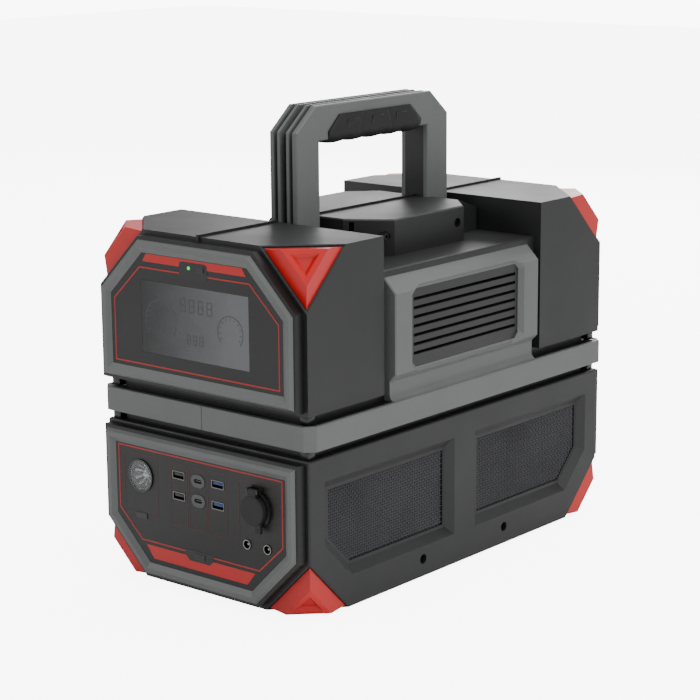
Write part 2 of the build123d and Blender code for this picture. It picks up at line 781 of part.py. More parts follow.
def make_deck():
    """Left and right halves of the deck."""
    deck = deck_body()
    top_edges = deck.faces().sort_by(Axis.Z)[-1].edges()
    deck = chamfer(top_edges, DECK_EDGE)
    half_x = DECK_HALF - DECK_WALL
    cavity = box(-half_x, half_x, DECK_FRONT + WALL, DECK_REAR - DECK_REAR_CUT,
                 MID_ROOF - OVER, ROOF_Z - WALL)
    deck = deck - cavity - leg_slot()
    z = ROOF_Z - DECK_SCREW_DROP
    seat = DECK_HALF - DECK_SCREW_DEEP
    wells = screw_wells(seat, DECK_HALF, DECK_SCREW_Y, z, SHANK_LENGTH + OVER)
    for tool in wells:
        deck = deck - tool - mirrored(tool)
    rib_end = min(DECK_REAR, HANDLE_HALF - HANDLE_LEG) - FIT
    for side, name in ((-1, "left"), (1, "right")):
        half = keep_side(deck, side)
        if side < 0:
            for rib in seam_ribs(ROOF_Z, [(DECK_FRONT + DECK_EDGE, rib_end)]):
                half = half + rib
        save(half, "deck_" + name)


def handle_outline(inset, open_foot):
    """The handle from the side, in Y and Z: an arch whose outer edge is moved in by inset."""
    top = ROOF_Z + HANDLE_RISE - inset
    outer = HANDLE_HALF - inset
    inner = HANDLE_HALF - HANDLE_LEG
    cut_y = HANDLE_CUT_Y - inset * (2 - sqrt(2))
    cut_z = HANDLE_CUT_Z - inset * (2 - sqrt(2))
    under = ROOF_Z + HANDLE_RISE - HANDLE_BAR
    return [
        (-outer, open_foot),
        (-inner, open_foot),
        (-inner, under),
        (inner, under),
        (inner, open_foot),
        (outer, open_foot),
        (outer, top - cut_z),
        (outer - cut_y, top),
        (-outer + cut_y, top),
        (-outer, top - cut_z),
    ]


def grip_outline(grow):
    """The rubber grip from the side; its lower edge hangs below the bar."""
    top = ROOF_Z + HANDLE_RISE - GRIP_TOP_DROP + grow
    under = ROOF_Z + HANDLE_RISE - HANDLE_BAR - GRIP_BELLY
    return [
        (-GRIP_HALF - grow, under),
        (GRIP_HALF + grow, under),
        (GRIP_HALF + grow, under + GRIP_END),
        (GRIP_HALF_TOP + grow, top),
        (-GRIP_HALF_TOP - grow, top),
        (-GRIP_HALF - grow, under + GRIP_END),
    ]


def make_handle():
    """Black core, grey side plates, grey ribs and the rubber grip."""
    half = HANDLE_WIDTH / 2
    foot = MID_ROOF
    core_half = half - PLATE_THICK
    core = prism_x(handle_outline(RIB_DEPTH, foot), -core_half, core_half)
    plate = prism_x(handle_outline(0, foot), core_half, half)
    plate = chamfer(plate.faces().sort_by(Axis.X)[-1].edges(), SMALL_EDGE)
    rib_arch = prism_x(handle_outline(0, foot), -RIB_THICK / 2, RIB_THICK / 2)
    rib_arch = rib_arch - prism_x(handle_outline(RIB_DEPTH, foot - OVER), -RIB_THICK, RIB_THICK)
    gap_under = ROOF_Z + HANDLE_RISE - HANDLE_BAR
    finger_gap = box(-FAR, FAR, -HANDLE_HALF + HANDLE_LEG, HANDLE_HALF - HANDLE_LEG, 0, gap_under)
    rib_arch = rib_arch - finger_gap
    recess = prism_x(grip_outline(FIT), -FAR, FAR)
    grip = prism_x(grip_outline(0), -half - GRIP_SWELL, half + GRIP_SWELL)
    grip_edges = grip.edges().filter_by(Axis.Y).sort_by(Axis.Z)[:2]
    grip = fillet(grip_edges, GRIP_ROUND)
    beam_half = core_half - BEAM_INSET
    beam_foot = gap_under + BEAM_INSET
    beam = box(-beam_half, beam_half, -FAR, FAR, beam_foot, FAR)
    grip = grip - box(-beam_half - FIT, beam_half + FIT, -FAR, FAR, beam_foot - FIT, FAR)
    core = core - (recess - beam)
    plate = plate - recess
    grip_low = box(-FAR, FAR, -FAR, FAR, 0, ROOF_Z + HANDLE_RISE - GRIP_TOP_DROP)
    for bolt in handle_bolts(FIT / 4):
        core = core - bolt
    save(core, "handle_core")
    save(plate, "handle_plate_right")
    save(mirrored(plate), "handle_plate_left")
    ribs = [Pos(side * RIB_PITCH / 2, 0, 0) * rib_arch for side in (-1, 1)]
    save(group(ribs), "handle_ribs")
    save(grip & grip_low, "handle_grip")


# ---- end panels --------------------------------------------------------------
def rear(solid):
    """A front solid turned to the rear end."""
    return Rot(0, 0, 180) * solid


def housing(low, high):
    """A black end housing: raised rim, flat plate and an open back."""
    body = prism_y(rim_outline(low, high), -PANEL_Y, -END)
    front = body.faces().sort_by(Axis.Y)[0]
    body = chamfer(front.edges(), SMALL_EDGE)
    inner = rim_outline(low, high, HOUSING_WALL)
    return body - prism_y(inner, -PANEL_Y + PLATE, -END + OVER)


def trim_outline(low, high, inset, y):
    """One outline of the trim ring at its own depth."""
    return Plane.XZ.offset(-y) * Polygon(*rim_outline(low, high, inset), align=None)


def trim(low, high):
    """The grey ring on a housing: a flat crown with a slope on each side."""
    base_y = -PANEL_Y
    crown_y = base_y - TRIM_PROUD
    crown_out = TRIM_EDGE + TRIM_OUTER_SLOPE
    crown_in = crown_out + TRIM_FLAT
    base_in = crown_in + TRIM_INNER_SLOPE
    outer = loft([
        trim_outline(low, high, TRIM_EDGE, base_y),
        trim_outline(low, high, crown_out, crown_y),
    ], ruled=True)
    inner = loft([
        trim_outline(low, high, base_in, base_y),
        trim_outline(low, high, crown_in, crown_y),
    ], ruled=True)
    return outer - inner


def port_places():
    """Middle of each USB port: three columns of two."""
    top = BASE_Z + PORT_TOP
    low = top - PORT_ROW
    return [
        [(-PORT_COLUMN, top), (-PORT_COLUMN, low)],
        [(0, top - OVAL_DROP), (0, low)],
        [(PORT_COLUMN, top), (PORT_COLUMN, low)],
    ]


def block_y(x, z, width, height, y0, y1):
    """A box along Y round a middle in X and Z."""
    return box(x - width / 2, x + width / 2, y0, y1, z - height / 2, z + height / 2)


def key_shape(x, z, width, height, grow=0.0):
    """A pressed key: a cap through the plate and a wider skirt behind it."""
    return block_y(x, z, width + 2 * grow, height + 2 * grow, -PANEL_Y - KEY_PROUD,
                   -PANEL_Y + PLATE + RUN)


def make_key(x, z, width, height, name, at_rear=False):
    """One key with its skirt behind the plate, sprung along Y."""
    cap = key_shape(x, z, width, height)
    back = -PANEL_Y + PLATE + RUN
    skirt = block_y(x, z, width + KEY_SKIRT, height + KEY_SKIRT, back, back + KEY_SKIRT_THICK)
    key = cap + skirt
    save(rear(key) if at_rear else key, name)


def make_display_panel():
    """The front of the power unit: housing, trim, display, power key and status light."""
    low, high = TOP_Z, ROOF_Z
    window_z = ROOF_Z - WINDOW_DROP
    switch_z = ROOF_Z - SWITCH_DROP
    plate = housing(low, high)
    plate = plate - block_y(0, window_z, WINDOW_WIDTH + 2 * FIT, WINDOW_HEIGHT + 2 * FIT,
                            -PANEL_Y - OVER, -PANEL_Y + PLATE + OVER)
    plate = plate - key_shape(SWITCH_X, switch_z, SWITCH_WIDTH, SWITCH_HEIGHT, RUN)
    plate = plate - rod_y(LED_X, switch_z, LED_RADIUS + FIT / 4, -PANEL_Y - OVER, -END)
    save(plate, "display_housing")
    save(trim(low, high), "display_trim")
    save(block_y(0, window_z, WINDOW_WIDTH, WINDOW_HEIGHT, -PANEL_Y, -PANEL_Y + WINDOW_THICK),
         "display_window")
    module_y = -PANEL_Y + PLATE
    module = block_y(0, window_z, WINDOW_WIDTH + MODULE_LAP, WINDOW_HEIGHT + MODULE_LAP,
                     module_y, module_y + MODULE_THICK)
    glass = block_y(0, window_z, WINDOW_WIDTH - OVER, WINDOW_HEIGHT - OVER,
                    -PANEL_Y + WINDOW_THICK + FIT, module_y)
    save(module + glass, "display_module")
    make_key(SWITCH_X, switch_z, SWITCH_WIDTH, SWITCH_HEIGHT, "power_key")
    light = rod_y(LED_X, switch_z, LED_RADIUS, -PANEL_Y - LED_PROUD, -PANEL_Y + PLATE + LED_TAIL)
    save(light, "status_light")


def usb_a(x, z):
    """A USB-A socket: a metal box with its tongue."""
    face = -PANEL_Y - USB_PROUD
    back = face + USB_DEPTH
    shell = block_y(x, z, USB_WIDTH, USB_HEIGHT, face, back)
    mouth = block_y(x, z, USB_WIDTH - 2 * USB_WALL, USB_HEIGHT - 2 * USB_WALL, face - OVER,
                    back - USB_WALL)
    tongue = block_y(x, z + TONGUE_UP, USB_WIDTH - 3 * USB_WALL, TONGUE_THICK, face + USB_WALL,
                     back - USB_WALL / 2)
    return shell - mouth + tongue


def slot_rod(x, z, width, height, y0, y1):
    """A bar with round ends, drawn along Y."""
    sketch = Plane.XZ.offset(-y0) * (Pos(x, z) * SlotOverall(width, height))
    return extrude(sketch, amount=y1 - y0, dir=(0, 1, 0))


def usb_c(x, z):
    """A USB-C socket behind its oval collar."""
    face = -PANEL_Y - OVAL_PROUD
    back = face + OVAL_DEPTH
    collar = slot_rod(x, z, OVAL_WIDTH, OVAL_HEIGHT, face, back)
    mouth = slot_rod(x, z, OVAL_MOUTH_WIDTH, OVAL_MOUTH_HEIGHT, face - OVER, back - 2 * OVER)
    blade = block_y(x, z, BLADE_WIDTH, BLADE_THICK, face + OVER, back - OVER)
    return collar - mouth + blade


def usb_c_hole(x, z):
    """The plate hole of a USB-C collar."""
    return slot_rod(x, z, OVAL_WIDTH + 2 * FIT, OVAL_HEIGHT + 2 * FIT, -PANEL_Y - OVER,
                    -PANEL_Y + PLATE + OVER)


def dc_jack(x, z):
    """A round DC jack: a bright barrel with a centre pin."""
    face = -PANEL_Y - JACK_PROUD
    floor = face + JACK_DEPTH
    barrel = rod_y(x, z, JACK_RADIUS, face, floor + WALL)
    barrel = barrel - rod_y(x, z, JACK_BORE, face - OVER, floor)
    return barrel + rod_y(x, z, JACK_PIN, face + 2 * JACK_PROUD, floor + OVER)


def car_hinge():
    """Y and Z of the cover's hinge pin."""
    return -PANEL_Y - HINGE_OUT, BASE_Z + CAR_Z + CAP_RADIUS + HINGE_UP


def make_car_socket():
    """The accessory socket: flange, tube, contact and the ears of the cover's hinge."""
    z = BASE_Z + CAR_Z
    face = -PANEL_Y - CAR_PROUD
    floor = -PANEL_Y + CAR_DEPTH
    ear = HINGE_HALF + RUN
    pin_y, pin_z = car_hinge()
    socket = rod_y(CAR_X, z, CAR_FLANGE, face, -PANEL_Y)
    socket = socket + rod_y(CAR_X, z, CAR_BORE + CAR_WALL, -PANEL_Y, floor + CAR_WALL)
    socket = socket - rod_y(CAR_X, z, CAR_BORE, face - OVER, floor)
    socket = socket + rod_y(CAR_X, z, CAR_CONTACT, floor - CAR_CONTACT, floor + OVER)
    tab = box(CAR_X - ear - CAR_WALL, CAR_X + ear + CAR_WALL, -PANEL_Y - HINGE_TAB, -PANEL_Y,
              z + CAR_BORE + CAR_WALL, pin_z + HINGE_RADIUS + OVER)
    socket = socket + tab
    for side in (-1, 1):
        xs = sorted((CAR_X + side * ear, CAR_X + side * (ear + CAR_WALL)))
        socket = socket + box(xs[0], xs[1], pin_y - HINGE_RADIUS, -PANEL_Y,
                              pin_z - HINGE_RADIUS, pin_z + HINGE_RADIUS)
    socket = socket + rod_x(pin_y, pin_z, HINGE_PIN, CAR_X - ear - OVER, CAR_X + ear + OVER)
    save(socket, "car_socket")


def make_car_cover():
    """The rubber cover: a cap with a plug ring, a strap up to its hinge and a pull."""
    z = BASE_Z + CAR_Z
    pin_y, pin_z = car_hinge()
    back = -PANEL_Y - CAR_PROUD - RUN
    plug = CAR_BORE - RUN - FIT
    cap = rod_y(CAR_X, z, CAP_RADIUS, back - CAP_THICK, back)
    cap = chamfer(cap.faces().sort_by(Axis.Y)[0].edges(), SMALL_EDGE)
    cap = cap + rod_y(CAR_X, z, plug, back - OVER, back + CAP_PLUG)
    cap = cap - rod_y(CAR_X, z, plug - CAP_PLUG, back - CAP_THICK / 4, back + CAP_PLUG + OVER)
    strap = box(CAR_X - HINGE_HALF, CAR_X + HINGE_HALF, pin_y - HINGE_RADIUS, back - RUN,
                z + CAP_RADIUS - CAP_PLUG, pin_z)
    knuckle = rod_x(pin_y, pin_z, HINGE_RADIUS, CAR_X - HINGE_HALF, CAR_X + HINGE_HALF)
    pull = box(CAR_X + PULL_IN, CAR_X + PULL_IN + PULL_WIDTH, back - PULL_THICK - RUN, back - RUN,
               z - CAP_RADIUS - PULL_OUT, z - CAP_RADIUS + PULL_WIDTH)
    cap = cap + strap + knuckle + pull
    reach = HINGE_HALF + CAR_WALL
    pin_hole = rod_x(pin_y, pin_z, HINGE_PIN + FIT / 4, CAR_X - reach, CAR_X + reach)
    save(cap - pin_hole, "car_socket_cover")


def make_torch():
    """The work light: reflector bowl, lens and light chip."""
    z = BASE_Z + TORCH_Z
    face = -PANEL_Y - TORCH_PROUD
    floor = face + TORCH_DEPTH - WALL
    bowl = rod_y(TORCH_X, z, TORCH_RADIUS, face, face + TORCH_DEPTH)
    lens_back = face + FIT + LENS_THICK
    mouth = rod_y(TORCH_X, z, TORCH_RADIUS - TORCH_RIM, face - OVER, lens_back)
    depth = floor - lens_back
    throat = Pos(TORCH_X, lens_back + depth / 2, z) * Rot(90, 0, 0)
    hollow = throat * Cone(TORCH_THROAT, TORCH_RADIUS - TORCH_RIM - TORCH_WALL / 2, depth)
    save(bowl - hollow - mouth, "torch_reflector")
    lens = rod_y(TORCH_X, z, TORCH_RADIUS - TORCH_RIM - FIT, face + FIT, lens_back - FIT / 2)
    save(lens, "torch_lens")
    save(rod_y(TORCH_X, z, CHIP_RADIUS, floor - CHIP_THICK, floor), "torch_chip")


def make_output_panel():
    """The front of the base: housing, trim, light, sockets and keys."""
    low, high = BASE_TOP, BASE_Z
    plate = housing(low, high)
    through = (-PANEL_Y - OVER, -PANEL_Y + PLATE + OVER)
    left, middle, right = port_places()
    for x, z in left + right:
        plate = plate - block_y(x, z, USB_WIDTH + 2 * FIT, USB_HEIGHT + 2 * FIT, *through)
    for x, z in middle:
        plate = plate - usb_c_hole(x, z)
    plate = plate - rod_y(TORCH_X, BASE_Z + TORCH_Z, TORCH_RADIUS + FIT, *through)
    plate = plate - rod_y(CAR_X, BASE_Z + CAR_Z, CAR_BORE + CAR_WALL + FIT, *through)
    jacks = [(JACK_X + side * JACK_SPACING / 2, BASE_Z + JACK_Z) for side in (-1, 1)]
    for x, z in jacks:
        plate = plate - rod_y(x, z, JACK_RADIUS + FIT, *through)
    keys = ((TORCH_X, BASE_Z + TORCH_KEY_Z, "torch_key"), (0.0, BASE_Z + DC_KEY_Z, "output_key"))
    for x, z, name in keys:
        plate = plate - key_shape(x, z, KEY_WIDTH, KEY_HEIGHT, RUN)
        make_key(x, z, KEY_WIDTH, KEY_HEIGHT, name)
    save(plate, "output_housing")
    save(trim(low, high), "output_trim")
    save(group([usb_a(x, z) for x, z in left]), "usb_a_ports")
    save(group([usb_c(x, z) for x, z in middle]), "usb_c_ports")
    save(group([usb_a(x, z) for x, z in right]), "usb_fast_ports")
    save(group([dc_jack(x, z) for x, z in jacks]), "dc_jacks")
    make_torch()
    make_car_socket()
    make_car_cover()


def outlet(x, z):
    """A round recessed mains outlet with two pin holes, drawn at the front end."""
    floor = -PANEL_Y + OUTLET_DEPTH
    cup = rod_y(x, z, OUTLET_RADIUS + OUTLET_WALL, -PANEL_Y - JACK_PROUD, floor + 3 * OUTLET_WALL)
    cup = cup - rod_y(x, z, OUTLET_RADIUS, -PANEL_Y - JACK_PROUD - OVER, floor)
    for side in (-1, 1):
        pin_x = x + side * PIN_SPACING / 2
        cup = cup - rod_y(pin_x, z, PIN_RADIUS, floor - OVER, floor + 2 * OUTLET_WALL)
    return cup


def make_rear_panels():
    """The rear ends: mains outlets and their key above, the charging inlet below."""
    z = ROOF_Z - OUTLET_DROP
    key_z = ROOF_Z - SWITCH_DROP
    through = (-PANEL_Y - OVER, -PANEL_Y + PLATE + OVER)
    plate = housing(TOP_Z, ROOF_Z)
    places = [side * OUTLET_SPACING / 2 for side in (-1, 1)]
    for x in places:
        plate = plate - rod_y(x, z, OUTLET_RADIUS + OUTLET_WALL + FIT, *through)
    plate = plate - key_shape(0, key_z, KEY_WIDTH, KEY_HEIGHT, RUN)
    save(rear(plate), "mains_housing")
    save(rear(trim(TOP_Z, ROOF_Z)), "mains_trim")
    save(group([rear(outlet(x, z)) for x in places]), "mains_outlets")
    make_key(0, key_z, KEY_WIDTH, KEY_HEIGHT, "mains_key", at_rear=True)
    inlet_z = BASE_Z + PORT_TOP - PORT_ROW
    plate = housing(BASE_TOP, BASE_Z)
    outer_width = INLET_WIDTH + 2 * OUTLET_WALL
    outer_height = INLET_HEIGHT + 2 * OUTLET_WALL
    plate = plate - block_y(0, inlet_z, outer_width + 2 * FIT, outer_height + 2 * FIT, *through)
    save(rear(plate), "charge_housing")
    save(rear(trim(BASE_TOP, BASE_Z)), "charge_trim")
    floor = -PANEL_Y + INLET_DEPTH
    inlet = block_y(0, inlet_z, outer_width, outer_height, -PANEL_Y - JACK_PROUD, floor + WALL)
    inlet = inlet - block_y(0, inlet_z, INLET_WIDTH, INLET_HEIGHT, -PANEL_Y - 2 * JACK_PROUD,
                            floor)
    for side in (-1, 1):
        blade_x = side * (INLET_WIDTH / 2 - INLET_BLADE_IN)
        inlet = inlet + block_y(blade_x, inlet_z, INLET_BLADE, INLET_HEIGHT / 2, -PANEL_Y + WALL,
                                floor + OVER)
    save(rear(inlet), "charge_inlet")


# ---- corner caps, screws -------------------------------------------------------
def make_caps():
    """The eight red caps, a left and right pair in each node."""
    for up, level, height in ((1, ROOF_Z, "upper"), (-1, BASE_Z, "lower")):
        for sy, end in ((-1, "front"), (1, "rear")):
            pair = [corner_cap(sx, sy, up, level) for sx in (-1, 1)]
            save(group(pair), "corner_caps_" + height + "_" + end)


def side_screw(face, y, z):
    """One screw driven in from the side; face is the X of its seat on the +X side."""
    head = rod_x(y, z, SCREW_HEAD, face, face + HEAD_THICK)
    recess = rod_x(y, z, HEX_POCKET, face + HEAD_THICK - HEX_DEEP, face + HEAD_THICK + OVER)
    return head + rod_x(y, z, SHANK, face - SHANK_LENGTH, face) - recess


def make_screws():
    """The case screws and the handle bolts."""
    screws = []
    for end in (-1, 1):
        base = side_screw(SIDE - SCREW_DEEP, end * SCREW_Y, BASE_Z + SCREW_Z)
        deck = side_screw(DECK_HALF - DECK_SCREW_DEEP, end * DECK_SCREW_Y, ROOF_Z - DECK_SCREW_DROP)
        screws += [base, mirrored(base), deck, mirrored(deck)]
    save(group(screws), "case_screws")
    save(group(handle_bolts(0)), "handle_bolts")


# ---- insides -------------------------------------------------------------------
def cell_places():
    """Axis places of the battery cells."""
    xs = [(i - (CELLS_X - 1) / 2) * CELL_PITCH for i in range(CELLS_X)]
    ys = [(j - (CELLS_Y - 1) / 2) * CELL_PITCH for j in range(CELLS_Y)]
    return [(x, y) for x in xs for y in ys]


def make_battery():
    """Battery cells, the two trays that hold them and the battery board."""
    foot = BASE_Z + WALL + BOARD_GAP
    cell_foot = foot + HOLDER - HOLDER_LIP
    cell_top = cell_foot + CELL_LENGTH
    cells = [rod_z(x, y, CELL_RADIUS, cell_foot, cell_top) for x, y in cell_places()]
    save(group(cells), "battery_cells")
    half_x = (CELLS_X - 1) / 2 * CELL_PITCH + CELL_RADIUS + TRAY_EDGE
    half_y = (CELLS_Y - 1) / 2 * CELL_PITCH + CELL_RADIUS + TRAY_EDGE
    trays = []
    for z0, z1 in ((foot, foot + HOLDER), (cell_top - HOLDER_LIP, cell_top + HOLDER - HOLDER_LIP)):
        tray = box(-half_x, half_x, -half_y, half_y, z0, z1)
        cups = [rod_z(x, y, CELL_RADIUS + FIT, cell_foot, cell_top) for x, y in cell_places()]
        trays.append(tray - group(cups))
    save(group(trays), "cell_trays")
    board_z = cell_top + HOLDER + BOARD_GAP
    board_top = board_z + BOARD
    board = box(-BOARD_HALF_X, BOARD_HALF_X, -BOARD_HALF_Y, BOARD_HALF_Y, board_z, board_top)
    for row in range(SWITCHES):
        y = (row - (SWITCHES - 1) / 2) * SWITCH_PITCH
        chip = box(-BOARD_HALF_X / 2, 0, y - CHIP_HALF, y + CHIP_HALF, board_top,
                   board_top + CHIP_TALL)
        can = rod_z(BOARD_HALF_X / 2, y, CAN_RADIUS, board_top, board_top + CHIP_TALL)
        board = board + chip + can
    save(board, "battery_board")


def make_inverter():
    """The inverter board with its coils and capacitors, and the finned heat sink on it."""
    z = TOP_Z + WALL + BOARD_GAP
    top = z + BOARD
    board = box(-INVERTER_HALF_X, INVERTER_HALF_X, -BOARD_HALF_Y, BOARD_HALF_Y, z, top)
    for row in range(CAPACITORS):
        y = (row - (CAPACITORS - 1) / 2) * CAPACITOR_PITCH
        board = board + rod_z(-BOARD_HALF_X, y, CAN_RADIUS, top, top + COIL_TALL)
    for y in (-COIL_Y, COIL_Y):
        board = board + box(SINK_HALF + COIL_GAP, INVERTER_HALF_X - COIL_GAP, y - COIL_HALF,
                            y + COIL_HALF, top, top + COIL_TALL)
    save(board, "inverter_board")
    sink_y = BOARD_HALF_Y - WALL
    sink = box(-SINK_HALF, SINK_HALF, -sink_y, sink_y, top, top + SINK_BASE)
    for fin in range(FINS):
        x = (fin - (FINS - 1) / 2) * FIN_PITCH
        sink = sink + box(x - FIN_THICK / 2, x + FIN_THICK / 2, -sink_y, sink_y, top + SINK_BASE,
                          top + SINK_TALL)
    save(sink, "heat_sink")


# ---- fans ------------------------------------------------------------------------
def fan_places():
    """X of a fan's inner and outer face, and Z of its axis, on the +X side."""
    outer = MID_SIDE - WALL - FAN_GAP
    z = TOP_Z + WALL + BOARD_GAP + FAN_SIZE / 2
    return outer - FAN_THICK, outer, z


def fan_frame():
    """A square fan frame with a cross of struts and the motor post."""
    x0, x1, z = fan_places()
    half = FAN_SIZE / 2
    inside = half - FAN_RING / 2
    frame = box(x0, x1, -half, half, z - half, z + half)
    frame = frame - rod_x(0, z, half - FAN_RING, x0 - OVER, x1 + OVER)
    frame = frame + box(x0, x0 + STRUT, -inside, inside, z - STRUT / 2, z + STRUT / 2)
    frame = frame + box(x0, x0 + STRUT, -STRUT / 2, STRUT / 2, z - inside, z + inside)
    frame = frame + rod_x(0, z, FAN_HUB, x0, x0 + STRUT)
    return frame + rod_x(0, z, FAN_POST, x0, x0 + FAN_POST_LENGTH)


def fan_rotor():
    """Hub and twisted blades, free on the motor post."""
    x0, x1, z = fan_places()
    hub_x0 = x0 + STRUT + OVER
    hub_x1 = x1 - OVER
    rotor = rod_x(0, z, FAN_HUB, hub_x0, hub_x1)
    tip = FAN_SIZE / 2 - FAN_RING - FAN_TIP_GAP
    root = FAN_HUB - FAN_BLADE
    span = tip - root
    middle = Pos((hub_x0 + hub_x1) / 2, 0, z)
    for blade in range(FAN_BLADES):
        turn = Rot(360.0 / FAN_BLADES * blade, 0, 0)
        reach = Pos(0, 0, root + span / 2) * Rot(0, 0, FAN_TWIST)
        rotor = rotor + middle * turn * reach * Box(FAN_BLADE, FAN_CHORD, span)
    limit = rod_x(0, z, tip, hub_x0, hub_x1)
    bore = rod_x(0, z, FAN_POST + FIT / 4, x0, x0 + FAN_POST_LENGTH + OVER)
    return (rotor & limit) - bore


def make_fans():
    """A fan behind each grille."""
    frame = fan_frame()
    rotor = fan_rotor()
    save(group([frame, mirrored(frame)]), "fan_frames")
    save(rotor, "fan_rotor_right")
    save(mirrored(rotor), "fan_rotor_left")


if __name__ == "__main__":
    os.makedirs("parts", exist_ok=True)
    make_shells()
    make_feet()
    make_mesh()
    make_belt()
    make_vents()
    make_deck()
    make_handle()
    make_display_panel()
    make_output_panel()
    make_rear_panels()
    make_caps()
    make_screws()
    make_battery()
    make_inverter()
    make_fans()
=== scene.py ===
# %% [markdown]
# # A two-storey portable power station
#
# The moulded shells, panels, sockets and screws arrive as finished, fixed solids: this lesson
# calls them the frame.  Here they get their finishes, and the finer pieces are modelled round
# them: the woven grilles, the rubber grip, the printed lines and the display's figures.
# -Y is the front with its panels, Z is up, and every length is in metres.

# %% Load the fixed frame
from math import cos, degrees, pi, radians, sin

import bmesh
import bpy
from mathutils import Matrix, Vector


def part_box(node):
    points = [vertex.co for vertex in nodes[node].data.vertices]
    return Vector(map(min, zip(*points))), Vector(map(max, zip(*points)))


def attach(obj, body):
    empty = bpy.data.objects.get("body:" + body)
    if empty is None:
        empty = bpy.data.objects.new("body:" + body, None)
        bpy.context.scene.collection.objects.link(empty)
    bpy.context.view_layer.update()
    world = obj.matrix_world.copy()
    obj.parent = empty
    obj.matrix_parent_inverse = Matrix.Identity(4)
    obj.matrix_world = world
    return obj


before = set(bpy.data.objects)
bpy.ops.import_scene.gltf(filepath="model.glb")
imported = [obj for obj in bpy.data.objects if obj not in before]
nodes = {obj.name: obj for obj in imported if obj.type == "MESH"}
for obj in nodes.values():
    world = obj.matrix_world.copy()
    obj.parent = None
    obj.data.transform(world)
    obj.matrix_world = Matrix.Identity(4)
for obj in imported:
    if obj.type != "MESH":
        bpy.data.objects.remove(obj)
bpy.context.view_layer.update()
MM = 0.001

# %% [markdown]
# ## Where things are
#
# A piece takes its place from the solid it belongs to, so nothing has to be fitted by eye.
# `low` and `high` are the two far corners of a node; the faces that matter get a name here.

# %% Named places
def low(node):
    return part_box(node)[0]


def high(node):
    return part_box(node)[1]


PANEL_UP = low("display_trim").y + 3 * MM       # face of the display panel
PANEL_LOW = low("output_trim").y + 3 * MM       # face of the output panel
ROOF = high("top_shell_right").z
BASE = low("base_shell_right").z
PRINT = 0.12 * MM                               # printed film stands this far out
print("panel face", round(PANEL_UP, 4), "roof", round(ROOF, 4))

# %% [markdown]
# ## Small tools for edit mode
#
# An operator works on all that is selected, and the frame arrives selected, so `start` clears
# the selection before a primitive is added.  `finish` names the piece, joins it to its body and
# leaves its place in its mesh, so the object itself stays at the origin.

# %% Helpers that every new piece uses
def start():
    if bpy.context.object and bpy.context.object.mode != "OBJECT":
        bpy.ops.object.mode_set(mode="OBJECT")
    bpy.ops.object.select_all(action="DESELECT")


def pick(piece, kind, test):
    """Selects the faces, edges or vertices of a piece in edit mode for which the test is true."""
    bpy.ops.object.mode_set(mode="EDIT")
    bpy.ops.mesh.select_mode(type=kind)
    mesh = bmesh.from_edit_mesh(piece.data)
    items = {"FACE": mesh.faces, "EDGE": mesh.edges, "VERT": mesh.verts}[kind]
    for item in list(mesh.verts) + list(mesh.edges) + list(mesh.faces):
        item.select = False
    for item in items:
        item.select_set(bool(test(item)))
    mesh.select_flush_mode()
    bmesh.update_edit_mesh(piece.data)


def finish(piece, name, body, material, angle=35):
    """Names a piece, applies its place, gives it its finish and joins it to its body."""
    start()
    piece.select_set(True)
    bpy.context.view_layer.objects.active = piece
    bpy.ops.object.transform_apply(location=True, rotation=True, scale=True)
    bpy.ops.object.shade_smooth_by_angle(angle=radians(angle))
    piece.name = name
    piece.data.name = name
    piece.data.materials.clear()
    piece.data.materials.append(material)
    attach(piece, body)
    print(name, len(piece.data.polygons), "faces")
    return piece


def join(pieces):
    """Makes one object of several."""
    start()
    for piece in pieces:
        piece.select_set(True)
    bpy.context.view_layer.objects.active = pieces[0]
    bpy.ops.object.join()
    return bpy.context.object


def polygon(corners, y):
    """A flat face at depth y through corners given in X and Z: a circle with its points moved."""
    start()
    bpy.ops.mesh.primitive_circle_add(vertices=len(corners), fill_type="NGON")
    piece = bpy.context.object
    for vertex, (x, z) in zip(piece.data.vertices, corners):
        vertex.co = (x, y, z)
    return piece


def raise_face(piece, depth):
    """Draws the flat piece out towards the front."""
    bpy.ops.object.mode_set(mode="EDIT")
    bpy.ops.mesh.select_all(action="SELECT")
    bpy.ops.mesh.extrude_region_move(TRANSFORM_OT_translate={"value": (0, -depth, 0)})
    bpy.ops.mesh.select_all(action="SELECT")
    bpy.ops.mesh.normals_make_consistent(inside=False)
    bpy.ops.object.mode_set(mode="OBJECT")
    return piece


def film(corners, y, depth=PRINT):
    """A printed patch."""
    return raise_face(polygon(corners, y), depth)


def outline(corners, y, width, depth=PRINT):
    """A printed line round a closed shape: the face is inset and its middle taken out."""
    piece = polygon(corners, y)
    bpy.ops.object.mode_set(mode="EDIT")
    bpy.ops.mesh.select_all(action="SELECT")
    bpy.ops.mesh.inset(thickness=width)
    bpy.ops.mesh.delete(type="FACE")
    bpy.ops.object.mode_set(mode="OBJECT")
    return raise_face(piece, depth)


# %% [markdown]
# ## Finishes
#
# Colours are typed as the sRGB hex values a designer reads off a swatch, and one function turns
# them to the linear numbers that Blender wants.  One more small function adds a node with its
# settings and links, so each finish below reads as a list of what it is made of.

# %% Colour and node helpers
def srgb(code, alpha=1.0):
    """A hex swatch as linear red, green, blue and alpha."""
    parts = [int(code[i:i + 2], 16) / 255 for i in (1, 3, 5)]
    linear = [p / 12.92 if p <= 0.04045 else ((p + 0.055) / 1.055) ** 2.4 for p in parts]
    return (*linear, alpha)


def add(tree, kind, inputs=None, **settings):
    """Adds a node; each input is a value, or an output socket to link from."""
    node = tree.nodes.new(kind)
    for name, value in settings.items():
        setattr(node, name, value)
    for key, value in (inputs or {}).items():
        if isinstance(value, bpy.types.NodeSocket):
            tree.links.new(value, node.inputs[key])
        else:
            node.inputs[key].default_value = value
    return node


